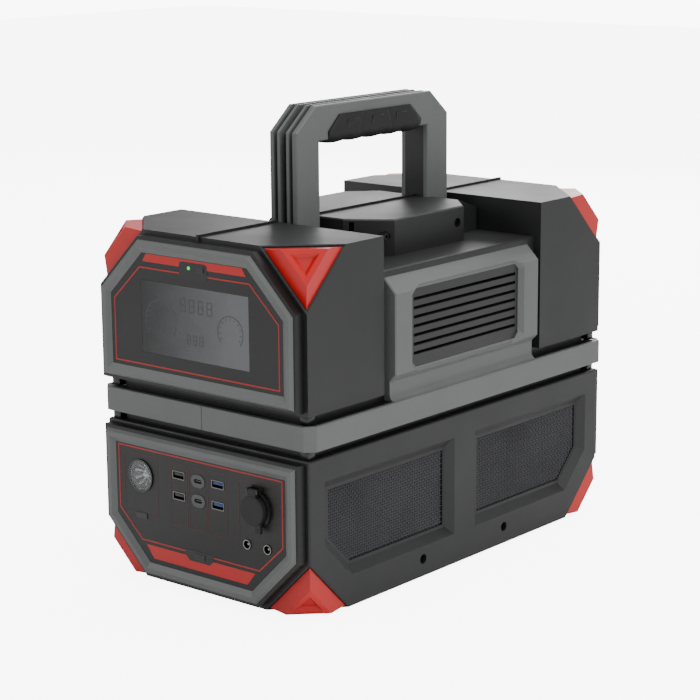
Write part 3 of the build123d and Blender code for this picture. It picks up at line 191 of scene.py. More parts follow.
def blank(name):
    """A new material with its tree, shader and a place on the object in metres."""
    material = bpy.data.materials.new(name)
    material.use_nodes = True
    tree = material.node_tree
    shader = tree.nodes["Principled BSDF"]
    place = add(tree, "ShaderNodeTexCoord").outputs["Object"]
    return material, tree, shader, place


def shade(tree, factor, dark, light, low_stop=0.3, high_stop=0.7):
    """A colour between two swatches."""
    ramp = add(tree, "ShaderNodeValToRGB", {"Fac": factor})
    ramp.color_ramp.elements[0].position = low_stop
    ramp.color_ramp.elements[0].color = srgb(dark)
    ramp.color_ramp.elements[1].position = high_stop
    ramp.color_ramp.elements[1].color = srgb(light)
    return ramp.outputs["Color"]


# %% [markdown]
# Moulded ABS has a fine spark-eroded texture: light breaks up on pits about a millimetre apart.
# A noise at that pitch drives the bump, a slower one the slight unevenness of colour and gloss.
# The real pits are nearer 0.3 mm, drawn here as coarse as they need to be to show.

# %% Moulded plastics
PIT = 1.1 * MM
CLOUD = 60 * MM


def moulded(name, dark, light, rough, pit=PIT, depth=0.05, spread=0.1, ior=1.53):
    material, tree, shader, place = blank(name)
    cloud = add(tree, "ShaderNodeTexNoise", {"Vector": place, "Scale": 1 / CLOUD, "Detail": 3.0})
    grain = add(tree, "ShaderNodeTexNoise", {"Vector": place, "Scale": 1 / pit, "Detail": 2.0})
    mixed = add(tree, "ShaderNodeMath", {0: cloud.outputs["Fac"], 1: 0.65}, operation="MULTIPLY")
    mixed = add(tree, "ShaderNodeMath", {0: grain.outputs["Fac"], 1: 0.35, 2: mixed.outputs[0]},
                operation="MULTIPLY_ADD")
    tree.links.new(shade(tree, mixed.outputs[0], dark, light), shader.inputs["Base Color"])
    gloss = add(tree, "ShaderNodeMapRange", {"Value": cloud.outputs["Fac"],
                                             "To Min": rough - spread,
                                             "To Max": rough + spread})
    tree.links.new(gloss.outputs["Result"], shader.inputs["Roughness"])
    bump = add(tree, "ShaderNodeBump", {"Height": grain.outputs["Fac"], "Strength": 0.6,
                                        "Distance": depth * MM})
    tree.links.new(bump.outputs["Normal"], shader.inputs["Normal"])
    shader.inputs["IOR"].default_value = ior
    return material


CHARCOAL = moulded("charcoal_abs_spark_eroded", "#131414", "#1a1b1b", 0.5, depth=0.09)
SATIN = moulded("black_abs_satin", "#0d0d0e", "#131314", 0.4, pit=0.7 * MM, depth=0.03)
PANEL = moulded("black_panel_film", "#09090a", "#0e0e0f", 0.48, pit=0.7 * MM, depth=0.02)
GREY = moulded("grey_abs_spark_eroded", "#565958", "#606362", 0.5, depth=0.07)
RED = moulded("red_abs_satin", "#b40400", "#c80802", 0.34, pit=0.8 * MM, depth=0.03)
KEY = moulded("black_key_plastic", "#101012", "#161618", 0.28, pit=0.6 * MM, depth=0.02)
RUBBER = moulded("black_tpe_soft_grip", "#0c0c0d", "#121213", 0.62, pit=0.9 * MM, depth=0.12,
                 ior=1.5)
PORT_BLACK = moulded("black_connector_plastic", "#0a0a0b", "#101011", 0.4, pit=0.5 * MM)
PORT_BLUE = moulded("blue_connector_plastic", "#0a2f66", "#0c3878", 0.4, pit=0.5 * MM)
PORT_GREY = moulded("grey_connector_plastic", "#3b3c3c", "#474848", 0.42, pit=0.5 * MM)
TRAY = moulded("white_abs_tray", "#c9c8c2", "#d8d7d1", 0.5)
FAN = moulded("black_pbt_fan", "#0e0e0f", "#161617", 0.45)
BEZEL = moulded("key_bezel_grey", "#2c2d2e", "#343536", 0.35, pit=0.6 * MM, depth=0.01)
WEAVE = moulded("black_woven_polyester", "#303033", "#4c4c51", 0.55, pit=0.5 * MM, depth=0.02)
INK_RED = moulded("red_screen_ink", "#a01006", "#ac1409", 0.5, pit=0.6 * MM, depth=0.01)
INK_DULL = moulded("dull_red_screen_ink", "#3c100c", "#46140f", 0.5, pit=0.6 * MM, depth=0.01)
FOIL_RED = moulded("red_printed_foil", "#ac0a03", "#b80e05", 0.4, pit=0.6 * MM, depth=0.01)
print("moulded plastics", len(bpy.data.materials))

# %% [markdown]
# Metals are bare: metallic 1, with fine turned or drawn lines that only change the roughness.
# The reflector bowl is vacuum-plated, so it's nearly a mirror with a faint orange-peel ripple.
# Its darker base colour is painted shade and the petals' brighter one a painted highlight,
# though bowl, petals and dome are the same plating.

# %% Metals, glass, lights and inside pieces
def metal(name, colour, rough, line=0.6 * MM, ripple=0.01):
    material, tree, shader, place = blank(name)
    lines = add(tree, "ShaderNodeTexNoise", {"Vector": place, "Scale": 1 / line, "Detail": 4.0})
    gloss = add(tree, "ShaderNodeMapRange", {"Value": lines.outputs["Fac"],
                                             "To Min": rough * 0.7, "To Max": rough * 1.3})
    tree.links.new(gloss.outputs["Result"], shader.inputs["Roughness"])
    bump = add(tree, "ShaderNodeBump", {"Height": lines.outputs["Fac"], "Strength": 0.3,
                                        "Distance": ripple * MM})
    tree.links.new(bump.outputs["Normal"], shader.inputs["Normal"])
    shader.inputs["Base Color"].default_value = srgb(colour)
    shader.inputs["Metallic"].default_value = 1.0
    return material


def clear(name, colour, rough, ior):
    material, tree, shader, place = blank(name)
    haze = add(tree, "ShaderNodeTexNoise", {"Vector": place, "Scale": 1 / (8 * MM)})
    gloss = add(tree, "ShaderNodeMapRange", {"Value": haze.outputs["Fac"],
                                             "To Min": rough * 0.6, "To Max": rough * 1.4})
    tree.links.new(gloss.outputs["Result"], shader.inputs["Roughness"])
    shader.inputs["Base Color"].default_value = srgb(colour)
    shader.inputs["Transmission Weight"].default_value = 1.0
    shader.inputs["IOR"].default_value = ior
    return material


def glowing(name, colour, strength):
    material, tree, shader, place = blank(name)
    spots = add(tree, "ShaderNodeTexNoise", {"Vector": place, "Scale": 1 / (1.5 * MM)})
    tint = shade(tree, spots.outputs["Fac"], colour, colour)
    tree.links.new(tint, shader.inputs["Base Color"])
    shader.inputs["Emission Color"].default_value = srgb(colour)
    shader.inputs["Emission Strength"].default_value = strength
    shader.inputs["Roughness"].default_value = 0.3
    return material


PLATED = metal("nickel_plated_steel", "#8c8c8a", 0.25)
# painted shade and painted highlight: one plating, given a dark colour for the bowl and a bright
# one for the petals and dome
MIRROR_PAINTED_DARK = metal("vacuum_plated_reflector_painted_shade", "#4a4c4e", 0.12, line=4 * MM, ripple=0.2)
PETAL_PAINTED_BRIGHT = metal("plated_petal_painted_highlight", "#e2e3e4", 0.12, line=4 * MM, ripple=0.1)
BLACKENED = metal("black_oxide_steel", "#3a3a3c", 0.4)
ALUMINIUM = metal("extruded_aluminium", "#b9bcc0", 0.35)
LENS = clear("polycarbonate_lens", "#c9cccc", 0.03, 1.585)
GREEN = glowing("green_status_diode", "#18c860", 1.2)
CHIP = glowing("yellow_phosphor_chip", "#d8c860", 0.0)
CELL = moulded("blue_cell_film", "#173a63", "#1d4878", 0.3)
BOARD = moulded("green_solder_mask", "#0f4a26", "#15602f", 0.35)

# %% [markdown]
# The display is a smoked acrylic window over a grey liquid-crystal panel.  Smoke-tinted glass
# over a dark gap reads as a slightly milky grey, so the window is a smooth plastic with
# a slow cloud in its tone and painted light: its colour is lighter towards the lower right,
# where the cell catches the light.
# a slow cloud in its tone, lighter towards the lower right where the cell catches the light.

# %% Display glass
def display_glass():
    material, tree, shader, place = blank("smoked_acrylic_window")
    split = add(tree, "ShaderNodeSeparateXYZ", {"Vector": place})
    # painted light: the window's colour grows lighter across X, standing in for the light the
    # cell catches
    wide = add(tree, "ShaderNodeMapRange", {"Value": split.outputs["X"], "From Min": -63 * MM,
                                            "From Max": 63 * MM})
    film_noise = add(tree, "ShaderNodeTexNoise", {"Vector": place, "Scale": 1 / (25 * MM)})
    cloud_and_painted_light = add(tree, "ShaderNodeMath", {0: film_noise.outputs["Fac"], 1: 0.25,
                                        2: wide.outputs["Result"]}, operation="MULTIPLY_ADD")
    tree.links.new(shade(tree, cloud_and_painted_light.outputs[0], "#101113", "#5a5c5f", 0.15, 1.25),
                   shader.inputs["Base Color"])
    shader.inputs["Roughness"].default_value = 0.24
    shader.inputs["IOR"].default_value = 1.49
    return material


WINDOW = display_glass()
DIGIT = moulded("display_segment", "#2a2c2f", "#323438", 0.35, pit=0.6 * MM, depth=0.005)

# %% [markdown]
# ## Which solid gets which finish
#
# One table holds every fixed solid once, under the finish it has on the real thing.  What isn't
# in the table would stay bare, so the cell ends by naming any that were missed.

# %% Give every fixed node its finish
FINISH = {
    CHARCOAL: ("base_shell_left", "base_shell_right", "top_shell_left", "top_shell_right",
               "deck_left", "deck_right"),
    SATIN: ("neck_frame", "handle_core", "side_mesh", "vent_grille_left", "vent_grille_right"),
    PANEL: ("display_housing", "output_housing", "mains_housing", "charge_housing"),
    GREY: ("belt_left", "belt_right", "vent_frame_left", "vent_frame_right",
           "handle_plate_left", "handle_plate_right", "handle_ribs", "display_trim",
           "output_trim", "mains_trim", "charge_trim"),
    RED: ("corner_caps_upper_front", "corner_caps_upper_rear", "corner_caps_lower_front",
          "corner_caps_lower_rear"),
    KEY: ("power_key", "torch_key", "output_key", "mains_key"),
    RUBBER: ("rubber_feet", "handle_grip", "car_socket_cover"),
    PORT_BLACK: ("usb_a_ports", "usb_fast_ports", "car_socket", "mains_outlets",
                 "charge_inlet"),
    PORT_GREY: ("usb_c_ports",),
    PLATED: ("dc_jacks",),
    MIRROR_PAINTED_DARK: ("torch_reflector",),
    LENS: ("torch_lens",),
    CHIP: ("torch_chip",),
    GREEN: ("status_light",),
    WINDOW: ("display_window", "display_module"),
    BLACKENED: ("case_screws", "handle_bolts"),
    CELL: ("battery_cells",),
    TRAY: ("cell_trays",),
    BOARD: ("battery_board", "inverter_board"),
    ALUMINIUM: ("heat_sink",),
    FAN: ("fan_frames", "fan_rotor_left", "fan_rotor_right"),
}
for material, names in FINISH.items():
    for name in names:
        nodes[name].data.materials.clear()
        nodes[name].data.materials.append(material)
bare = sorted(set(nodes) - {name for names in FINISH.values() for name in names})
print("nodes with no finish:", bare)

# %% [markdown]
# ## Printed panels
#
# The panels are screen-printed: a thin red line follows the trim, a broad red stripe is broken
# by the key's dark tab, and dull thin lines group the sockets.  Each line is a flat face whose
# border is kept by an inset, raised by a tenth of a millimetre like real ink on film.

# %% Printed lines of the display panel
LINE = 1.2 * MM                                 # width of the bright line
THIN = 0.7 * MM                                 # width of the dull lines
GROUP_ROUND = 3 * MM                            # rounding of the dull boxes
TAB_HALF = 16.5 * MM
TAB_TOP = 21 * MM                               # below the roof
TAB_FOOT = 36 * MM
TAB_ROUND = 3.5 * MM


def mirror_x(points):
    """The points, then the same points on the left side, as one closed outline."""
    return points + [(-x, z) for x, z in reversed(points)]


def rounded_box(x0, x1, z0, z1, radius):
    """Corners of a box with rounded ends, in X and Z."""
    points = []
    for cx, cz, first in ((x1 - radius, z1 - radius, 0), (x0 + radius, z1 - radius, 90),
                          (x0 + radius, z0 + radius, 180), (x1 - radius, z0 + radius, 270)):
        for step in range(5):
            turn = radians(first + 22.5 * step)
            points.append((cx + radius * cos(turn), cz + radius * sin(turn)))
    return points


def from_roof(x, drop):
    return x * MM, ROOF - drop * MM


def from_base(x, rise):
    return x * MM, BASE + rise * MM


display_line = mirror_x([from_roof(65, 31), from_roof(97.5, 62), from_roof(97.5, 118.5)])
finish(outline(display_line, PANEL_UP, LINE), "display_line", "case", INK_RED)
stripe = film(mirror_x([from_roof(61, 26), from_roof(56.5, 19)]), PANEL_UP)
finish(stripe, "display_stripe", "case", FOIL_RED)
tab = film(rounded_box(-TAB_HALF, TAB_HALF, ROOF - TAB_FOOT, ROOF - TAB_TOP, TAB_ROUND),
           PANEL_UP, 2 * PRINT)
finish(tab, "display_tab", "case", SATIN)

# %% [markdown]
# The output panel has the same line and stripe, and a thin dull box round each group of
# sockets.  Where a box would run across the round jacks, two cuts part the line and the piece
# between them is taken out, as the printer's film leaves the holes free.

# %% Printed lines of the output panel
def group_box(x0, x1, z0, z1):
    low_x, low_z = from_base(x0, z0)
    high_x, high_z = from_base(x1, z1)
    return outline(rounded_box(low_x, high_x, low_z, high_z, GROUP_ROUND), PANEL_LOW, THIN)


def open_line(piece, x0, x1, z_top):
    """Takes out the part of a printed line between two places, so that it stops at a socket."""
    for x in (x0, x1):
        bpy.ops.object.mode_set(mode="EDIT")
        bpy.ops.mesh.select_all(action="SELECT")
        bpy.ops.mesh.bisect(plane_co=(x, 0, 0), plane_no=(1, 0, 0))
        bpy.ops.object.mode_set(mode="OBJECT")
    pick(piece, "FACE", lambda f: x0 < f.calc_center_median().x < x1
         and f.calc_center_median().z < z_top)
    bpy.ops.mesh.delete(type="FACE")
    bpy.ops.object.mode_set(mode="OBJECT")
    return piece


output_line = mirror_x([from_base(98.5, 123.2), from_base(98.5, 64), from_base(71, 38)])
finish(outline(output_line, PANEL_LOW, LINE), "output_line", "case", INK_RED)
stripe = film(mirror_x([from_base(65.7, 35), from_base(56.6, 23.2)]), PANEL_LOW)
finish(stripe, "output_stripe", "case", FOIL_RED)
tab = film(mirror_x([from_base(17, 41), from_base(17, 35.5), from_base(12, 31)]), PANEL_LOW,
           2 * PRINT)
finish(tab, "output_tab", "case", SATIN)

JACK_RADIUS = 4.3 * MM
jack_left = low("dc_jacks").x + JACK_RADIUS
jack_right = high("dc_jacks").x - JACK_RADIUS
twelve_volt = group_box(47.7, 90.2, 60, 116)
for middle in (jack_left, jack_right):
    open_line(twelve_volt, middle - JACK_RADIUS, middle + JACK_RADIUS, high("dc_jacks").z)
boxes = [group_box(-91.7, -49.5, 61.2, 117.3), twelve_volt,
         group_box(-33.8, -13.2, 60, 117), group_box(-11.4, 9.4, 60, 117),
         group_box(11.2, 34, 60, 117)]
finish(join(boxes), "socket_group_lines", "case", INK_DULL)

# %% [markdown]
# ## Port mouths
#
# A USB-A mouth is a folded steel frame round a plastic tongue, black for the plain ports and
# blue for the fast ones.  The frame is the inset border of a flat face; the tongue's sleeve is
# a cube with its front edges bevelled.

# %% USB frames and tongue sleeves
USB_WIDE = 14.4 * MM
USB_TALL = 7.0 * MM
USB_ROUND = 0.7 * MM
USB_EDGE = 0.4 * MM                             # width of the bright steel edge
TONGUE_UP = 0.9 * MM
TONGUE_IN = 4.6 * MM                            # middle of the sleeve behind the mouth
SLEEVE_WIDE = 12 * MM
SLEEVE_DEEP = 8 * MM
SLEEVE_TALL = 2.6 * MM


def block(x, y, z, width, depth, height, soften=0.0):
    """A cube stretched to size about its middle, its edges bevelled."""
    start()
    bpy.ops.mesh.primitive_cube_add(size=1, location=(x, y, z), scale=(width, depth, height))
    piece = bpy.context.object
    if soften:
        bpy.ops.object.transform_apply(location=False, rotation=False, scale=True)
        bpy.ops.object.mode_set(mode="EDIT")
        bpy.ops.mesh.select_all(action="SELECT")
        bpy.ops.mesh.bevel(offset=soften, segments=2, affect="EDGES")
        bpy.ops.object.mode_set(mode="OBJECT")
    return piece


def mouths(node):
    """Middles in X and Z of the upper and the lower port of a column."""
    x = (low(node).x + high(node).x) / 2
    return [(x, high(node).z - USB_TALL / 2), (x, low(node).z + USB_TALL / 2)]


USB_ROWS = (("usb_a_ports", KEY, "port_black", "usb_tongues"),
            ("usb_fast_ports", PORT_BLUE, "port_blue", "usb_fast_tongues"))
frames = []
for node, material, slot, name in USB_ROWS:
    sleeves = []
    face = low(node).y
    for x, z in mouths(node):
        sleeves.append(block(x, face + TONGUE_IN, z + TONGUE_UP, SLEEVE_WIDE, SLEEVE_DEEP,
                             SLEEVE_TALL, 0.3 * MM))
        corners = rounded_box(x - USB_WIDE / 2, x + USB_WIDE / 2, z - USB_TALL / 2,
                              z + USB_TALL / 2, USB_ROUND)
        frames.append(outline(corners, face, USB_EDGE, 0.1 * MM))
    finish(join(sleeves), name, "case", material)
finish(join(frames), "usb_frames", "case", PLATED)

# %% [markdown]
# A key is black on black, so a thin raised bezel of dark grey marks its edge.  The key's solid
# is wider behind the plate by its skirt, and the bezel goes round what is left in front.

# %% Bezels round the keys
BEZEL_WIDE = 0.45 * MM
SKIRT = 1.5 * MM - BEZEL_WIDE                   # from the solid's edge in to the bezel
bezels = []
for key in ("torch_key", "output_key", "power_key"):
    corners = rounded_box(low(key).x + SKIRT, high(key).x - SKIRT, low(key).z + SKIRT,
                          high(key).z - SKIRT, 0.8 * MM)
    face = PANEL_UP if key == "power_key" else PANEL_LOW
    bezels.append(outline(corners, face, BEZEL_WIDE, 3 * PRINT))
finish(join(bezels), "key_bezels", "case", BEZEL)

# %% [markdown]
# ## Inside the work light
#
# A plated bowl alone mirrors an even grey.  The real one is pressed in petals that catch the
# light one by one, round a clear dome over the chip: eight slim ribs laid down the bowl's wall
# and a flattened ball.

# %% Petals and dome of the work light
BOWL_LOW, BOWL_HIGH = low("torch_reflector"), high("torch_reflector")
BOWL_X = (BOWL_LOW.x + BOWL_HIGH.x) / 2
BOWL_Z = (BOWL_LOW.z + BOWL_HIGH.z) / 2
BOWL_FLOOR = low("torch_chip").y
PETALS = 8
PETAL_SIZE = (2.6 * MM, 1.6 * MM, 8.5 * MM)
PETAL_IN = 4.6 * MM                             # petal's middle in front of the bowl's floor
PETAL_OUT = 7.2 * MM                            # and out from the bowl's axis
PETAL_LEAN = 48                                 # degrees, about the petal's own middle
DOME_RADIUS = 4.4 * MM
petals = []
for k in range(PETALS):
    turn = 2 * pi * (k + 0.5) / PETALS
    petal = block(0, 0, 0, *PETAL_SIZE, 0.5 * MM)
    petal.matrix_world = (Matrix.Translation((BOWL_X, BOWL_FLOOR - PETAL_IN, BOWL_Z))
                          @ Matrix.Rotation(turn, 4, "Y")
                          @ Matrix.Translation((0, 0, PETAL_OUT))
                          @ Matrix.Rotation(radians(PETAL_LEAN), 4, "X"))
    petals.append(petal)
finish(join(petals), "torch_petals", "case", PETAL_PAINTED_BRIGHT)
start()
bpy.ops.mesh.primitive_uv_sphere_add(segments=24, ring_count=12, radius=DOME_RADIUS,
                                     location=(BOWL_X, BOWL_FLOOR - 3.0 * MM, BOWL_Z))
dome = bpy.context.object
dome.scale = (1, 0.6, 1)
finish(dome, "torch_dome", "case", PETAL_PAINTED_BRIGHT, 60)

# %% [markdown]
# ## Seams and corner blocks
#
# The belt is two halves that meet at the front and rear, and small black blocks stand in the
# grooves under and over it at each corner of the case.

# %% Belt seams and groove blocks
HALF_SEAM = 0.35 * MM
SEAM_END = 0.5 * MM                             # seam line short of the belt's edges
BLOCK_SIDE = 9 * MM
BLOCK_IN = 8 * MM                               # block's middle inside the case faces
BLOCK_GAP = 0.4 * MM
belt_low, belt_high = low("belt_left"), high("belt_left")
seam_foot, seam_top = belt_low.z + SEAM_END, belt_high.z - SEAM_END
seam = [(-HALF_SEAM, seam_foot), (HALF_SEAM, seam_foot), (HALF_SEAM, seam_top),
        (-HALF_SEAM, seam_top)]
seams = [film(seam, belt_low.y + 0.1 * MM, 0.15 * MM),
         film(seam, belt_high.y + 0.05 * MM, 0.1 * MM)]
finish(join(seams), "belt_seams", "case", SATIN)
shell_low, shell_high = low("base_shell_right"), high("base_shell_right")
roof_low = low("top_shell_right").z
blocks = []
for side in (-1, 1):
    for y in (shell_low.y + BLOCK_IN, shell_high.y - BLOCK_IN):
        for z0, z1 in ((shell_high.z, belt_low.z), (belt_high.z, roof_low)):
            blocks.append(block(side * (shell_high.x - BLOCK_IN), y, (z0 + z1) / 2, BLOCK_SIDE,
                                BLOCK_SIDE, z1 - z0 - BLOCK_GAP, 0.5 * MM))
finish(join(blocks), "groove_blocks", "case", KEY)

# %% [markdown]
# ## Display figures
#
# Behind the smoked window sit seven-segment figures and two round gauges, just visible.  One
# segment is a thin six-sided face; a figure is a choice of seven of them, and a gauge is an arc
# with short ticks.

# %% Faint figures and gauges
SEGMENTS = {"0": "abcdef", "1": "bc", "2": "abged", "3": "abgcd", "4": "fgbc", "5": "afgcd",
            "6": "afgedc", "7": "abc", "8": "abcdefg", "9": "abcdfg"}
GLASS = low("display_window").y
FILM = 0.05 * MM


def bar(x0, z0, x1, z1, width):
    """A six-sided stroke from one point to another."""
    along = Vector((x1 - x0, 0, z1 - z0))
    step = along.normalized() * width / 2
    side = Vector((-step.z, 0, step.x))
    first, last = Vector((x0, 0, z0)), Vector((x1, 0, z1))
    ring = (first, first + step + side, last - step + side, last, last - step - side,
            first + step - side)
    return film([(p.x, p.z) for p in ring], GLASS, FILM)


def figure(digit, x, z, tall, width):
    """One seven-segment figure with its lower left corner at x, z."""
    wide, half = tall * 0.5, tall / 2
    strokes = {"a": (0, tall, wide, tall), "b": (wide, half, wide, tall),
               "c": (wide, 0, wide, half), "d": (0, 0, wide, 0), "e": (0, 0, 0, half),
               "f": (0, half, 0, tall), "g": (0, half, wide, half)}
    drawn = []
    for letter in SEGMENTS[digit]:
        x0, z0, x1, z1 = strokes[letter]
        drawn.append(bar(x + x0, z + z0, x + x1, z + z1, width))
    return drawn


def gauge(x, z, radius, first, last, width, ticks):
    """An arc band with ticks inside it; angles in degrees from +X."""
    turns = [radians(first + (last - first) * k / 24) for k in range(25)]
    band = [(x + radius * cos(t), z + radius * sin(t)) for t in turns]
    band += [(x + (radius - width) * cos(t), z + (radius - width) * sin(t))
             for t in reversed(turns)]
    drawn = [film(band, GLASS, FILM)]
    for k in range(ticks):
        t = radians(first + (last - first) * (k + 0.5) / ticks)
        near, far = radius - 4.5 * width, radius - 2.2 * width
        drawn.append(bar(x + near * cos(t), z + near * sin(t), x + far * cos(t),
                         z + far * sin(t), width))
    return drawn


WINDOW_MIDDLE = (low("display_window").z + high("display_window").z) / 2
drawn = []
for place, digit in enumerate("8888"):
    drawn += figure(digit, (-16 + 10.5 * place) * MM, WINDOW_MIDDLE + 10 * MM, 11 * MM, 1.0 * MM)
for place, digit in enumerate("888"):
    drawn += figure(digit, (-9 + 7.5 * place) * MM, WINDOW_MIDDLE - 18 * MM, 8 * MM, 0.8 * MM)
drawn += gauge(-40 * MM, WINDOW_MIDDLE - 2 * MM, 19 * MM, -40, 220, 1.0 * MM, 13)
drawn += gauge(42 * MM, WINDOW_MIDDLE - 2 * MM, 15 * MM, -40, 220, 0.9 * MM, 11)
finish(join(drawn), "display_figures", "case", DIGIT)

# %% [markdown]
# ## Woven side grilles
#
# Plain weave: every warp wire goes over one weft wire and under the next.  One cell holds two
# of each, made from a single four-sided cylinder whose rings follow a wave.  Array modifiers
# repeat the cell over the window and five cuts trim it to the window's outline.

# %% One cell of the weave
PITCH = 2.5 * MM
WIRE = 0.5 * MM
WAVE = 0.42 * MM


def wave_wire(sign):
    """A wire two pitches long up Z whose rings swing in X."""
    start()
    bpy.ops.mesh.primitive_cylinder_add(vertices=4, radius=WIRE, depth=2 * PITCH,
                                        end_fill_type="NOTHING")
    wire = bpy.context.object
    pick(wire, "EDGE", lambda e: abs(e.verts[0].co.z - e.verts[1].co.z) > PITCH)
    bpy.ops.mesh.subdivide(number_cuts=3)
    bpy.ops.object.mode_set(mode="OBJECT")
    for vertex in wire.data.vertices:
        vertex.co.x += sign * WAVE * cos(pi * vertex.co.z / PITCH)
    return wire


def lay(sign, y, z, turned):
    """A wire moved to its place in the cell, turned on its side for the weft."""
    wire = wave_wire(sign)
    if turned:
        wire.rotation_euler = (radians(90), 0, 0)
    wire.location = (0, y, z)
    return wire


cell = join([lay(1, 0, 0, False), lay(-1, PITCH, 0, False), lay(-1, 0, 0, True),
             lay(1, 0, PITCH, True)])
print("weave cell", len(cell.data.polygons), "faces")

# %% [markdown]
# The cell is repeated along Y, then up Z, with its ends welded so that each wire is one long
# strand.  Straight and slanting cuts give the window's outline, and the other windows are
# mirrored copies with meshes of their own.

# %% Repeat it over the window and trim it
MESH_LOW, MESH_HIGH = low("side_mesh"), high("side_mesh")
MESH_MID = (MESH_LOW.y + MESH_HIGH.y) / 2
LAP = 4.5 * MM                                  # sheet beyond the visible window
NEAR = 26.2 * MM
FAR = MESH_HIGH.y - MESH_MID - LAP
FOOT, TOP = MESH_LOW.z + LAP, MESH_HIGH.z - LAP
CUT = 28 * MM
SHEET = MESH_HIGH.x + WIRE + WAVE + 0.05 * MM


def repeat(piece, axis, count):
    """Array modifier along one axis at the cell's size, welded and applied."""
    modifier = piece.modifiers.new("row", "ARRAY")
    modifier.count = count
    modifier.use_relative_offset = False
    modifier.use_constant_offset = True
    shift = [0, 0, 0]
    shift[axis] = 2 * PITCH
    modifier.constant_offset_displace = shift
    modifier.use_merge_vertices = True
    modifier.merge_threshold = 0.02 * MM
    start()
    piece.select_set(True)
    bpy.context.view_layer.objects.active = piece
    bpy.ops.object.modifier_apply(modifier=modifier.name)


def trim(piece, place, normal):
    """Cuts off what lies on the normal's side."""
    start()
    piece.select_set(True)
    bpy.context.view_layer.objects.active = piece
    bpy.ops.object.mode_set(mode="EDIT")
    bpy.ops.mesh.select_all(action="SELECT")
    bpy.ops.mesh.bisect(plane_co=place, plane_no=normal, clear_outer=True)
    bpy.ops.object.mode_set(mode="OBJECT")


def mirrored_copy(piece, axis, about=0.0):
    """A copy with its own mesh, reflected across a plane square to one axis."""
    start()
    piece.select_set(True)
    bpy.context.view_layer.objects.active = piece
    bpy.ops.object.duplicate()
    copy = bpy.context.object
    for vertex in copy.data.vertices:
        vertex.co[axis] = 2 * about - vertex.co[axis]
    bpy.ops.object.mode_set(mode="EDIT")
    bpy.ops.mesh.select_all(action="SELECT")
    bpy.ops.mesh.flip_normals()
    bpy.ops.object.mode_set(mode="OBJECT")
    return copy


cell.location = (SHEET, MESH_MID + NEAR + PITCH, FOOT + PITCH)
bpy.ops.object.transform_apply(location=True, rotation=True, scale=True)
repeat(cell, 1, int((FAR - NEAR) / (2 * PITCH)) + 1)
repeat(cell, 2, int((TOP - FOOT) / (2 * PITCH)) + 1)
trim(cell, (0, MESH_MID + FAR, 0), (0, 1, 0))
trim(cell, (0, MESH_MID + NEAR, 0), (0, -1, 0))
trim(cell, (0, 0, TOP), (0, 0, 1))
trim(cell, (0, 0, FOOT), (0, 0, -1))
trim(cell, (0, MESH_MID + FAR, FOOT + CUT), (0, 1, -1))
weaves = [cell, mirrored_copy(cell, 1, MESH_MID)]
weaves += [mirrored_copy(weave, 0) for weave in weaves]
for place, weave in zip(("right_rear", "right_front", "left_rear", "left_front"), weaves):
    finish(weave, "woven_grille_" + place, "case", WEAVE)

# %% [markdown]
# ## Rubber grip
#
# The grip is one soft skin over the bar: three pads a side, parted by shallow grooves, and
# finger scallops below.  It is a flat grid whose rows are laid round the bar's section and
# whose columns run along it, pushed outwards where there's a pad or a scallop.

# %% Skin of the grip
GRIP_LOW, GRIP_HIGH = low("handle_grip"), high("handle_grip")
GRIP_MID = (GRIP_LOW.y + GRIP_HIGH.y) / 2
GRIP_HALF = (GRIP_HIGH.y - GRIP_LOW.y) / 2
GRIP_SIDE = GRIP_HIGH.x
GRIP_ROUND = 9 * MM
GRIP_END = 10.5 * MM
GRIP_TOP_HALF = 51 * MM
PAD = 0.9 * MM
SCALLOP = 1.3 * MM


def grip_section():
    """Points round the bar in X and Z with their outward directions and a share of underside."""
    top = GRIP_HIGH.z
    bend = GRIP_LOW.z + GRIP_ROUND
    path = [(GRIP_SIDE, top - k * (top - bend) / 4, 1, 0, 0) for k in range(5)]
    for k in range(1, 7):
        turn = radians(15 * k)
        path.append((GRIP_SIDE - GRIP_ROUND + GRIP_ROUND * cos(turn),
                     bend - GRIP_ROUND * sin(turn), cos(turn), -sin(turn), k / 6))
    other = [(-x, z, -nx, nz, under) for x, z, nx, nz, under in reversed(path)]
    return path + [(0, GRIP_LOW.z, 0, -1, 1)] + other


def half_length(z):
    """Half of the grip's length at one height: its ends slant in above."""
    share = (z - GRIP_LOW.z - GRIP_END) / (GRIP_HIGH.z - GRIP_LOW.z - GRIP_END)
    return GRIP_HALF - max(0.0, share) * (GRIP_HALF - GRIP_TOP_HALF)


def push(along, under):
    """How far the skin stands off the bar at one place along it."""
    edge = min(1.0, (1 - abs(along)) / 0.05)
    groove = min(abs(along - 0.34), abs(along + 0.34)) / 0.04
    pad = PAD * min(1.0, groove)
    scallop = SCALLOP * abs(sin(pi * 2.5 * (along + 1)))
    return edge * ((1 - under) * pad + under * scallop) - (1 - edge) * 0.1 * MM


def grip_skin():
    section = grip_section()
    columns = 97
    start()
    bpy.ops.mesh.primitive_grid_add(x_subdivisions=columns - 1, y_subdivisions=len(section) - 1)
    skin = bpy.context.object
    for vertex in skin.data.vertices:
        along = vertex.co.x
        row = round((vertex.co.y + 1) / 2 * (len(section) - 1))
        x, z, nx, nz, under = section[row]
        reach = push(along, under)
        vertex.co = (x + nx * reach, GRIP_MID + along * half_length(z), z + nz * reach)
    bpy.ops.object.mode_set(mode="EDIT")
    bpy.ops.mesh.select_all(action="SELECT")
    bpy.ops.mesh.normals_make_consistent(inside=False)
    bpy.ops.object.mode_set(mode="OBJECT")
    return skin


finish(grip_skin(), "grip_skin", "case", RUBBER, 60)

# %% [markdown]
# Each pad carries a moulded mark like an L upside down: two slim bars whose edges are rounded
# by a bevel, half sunk in the skin.

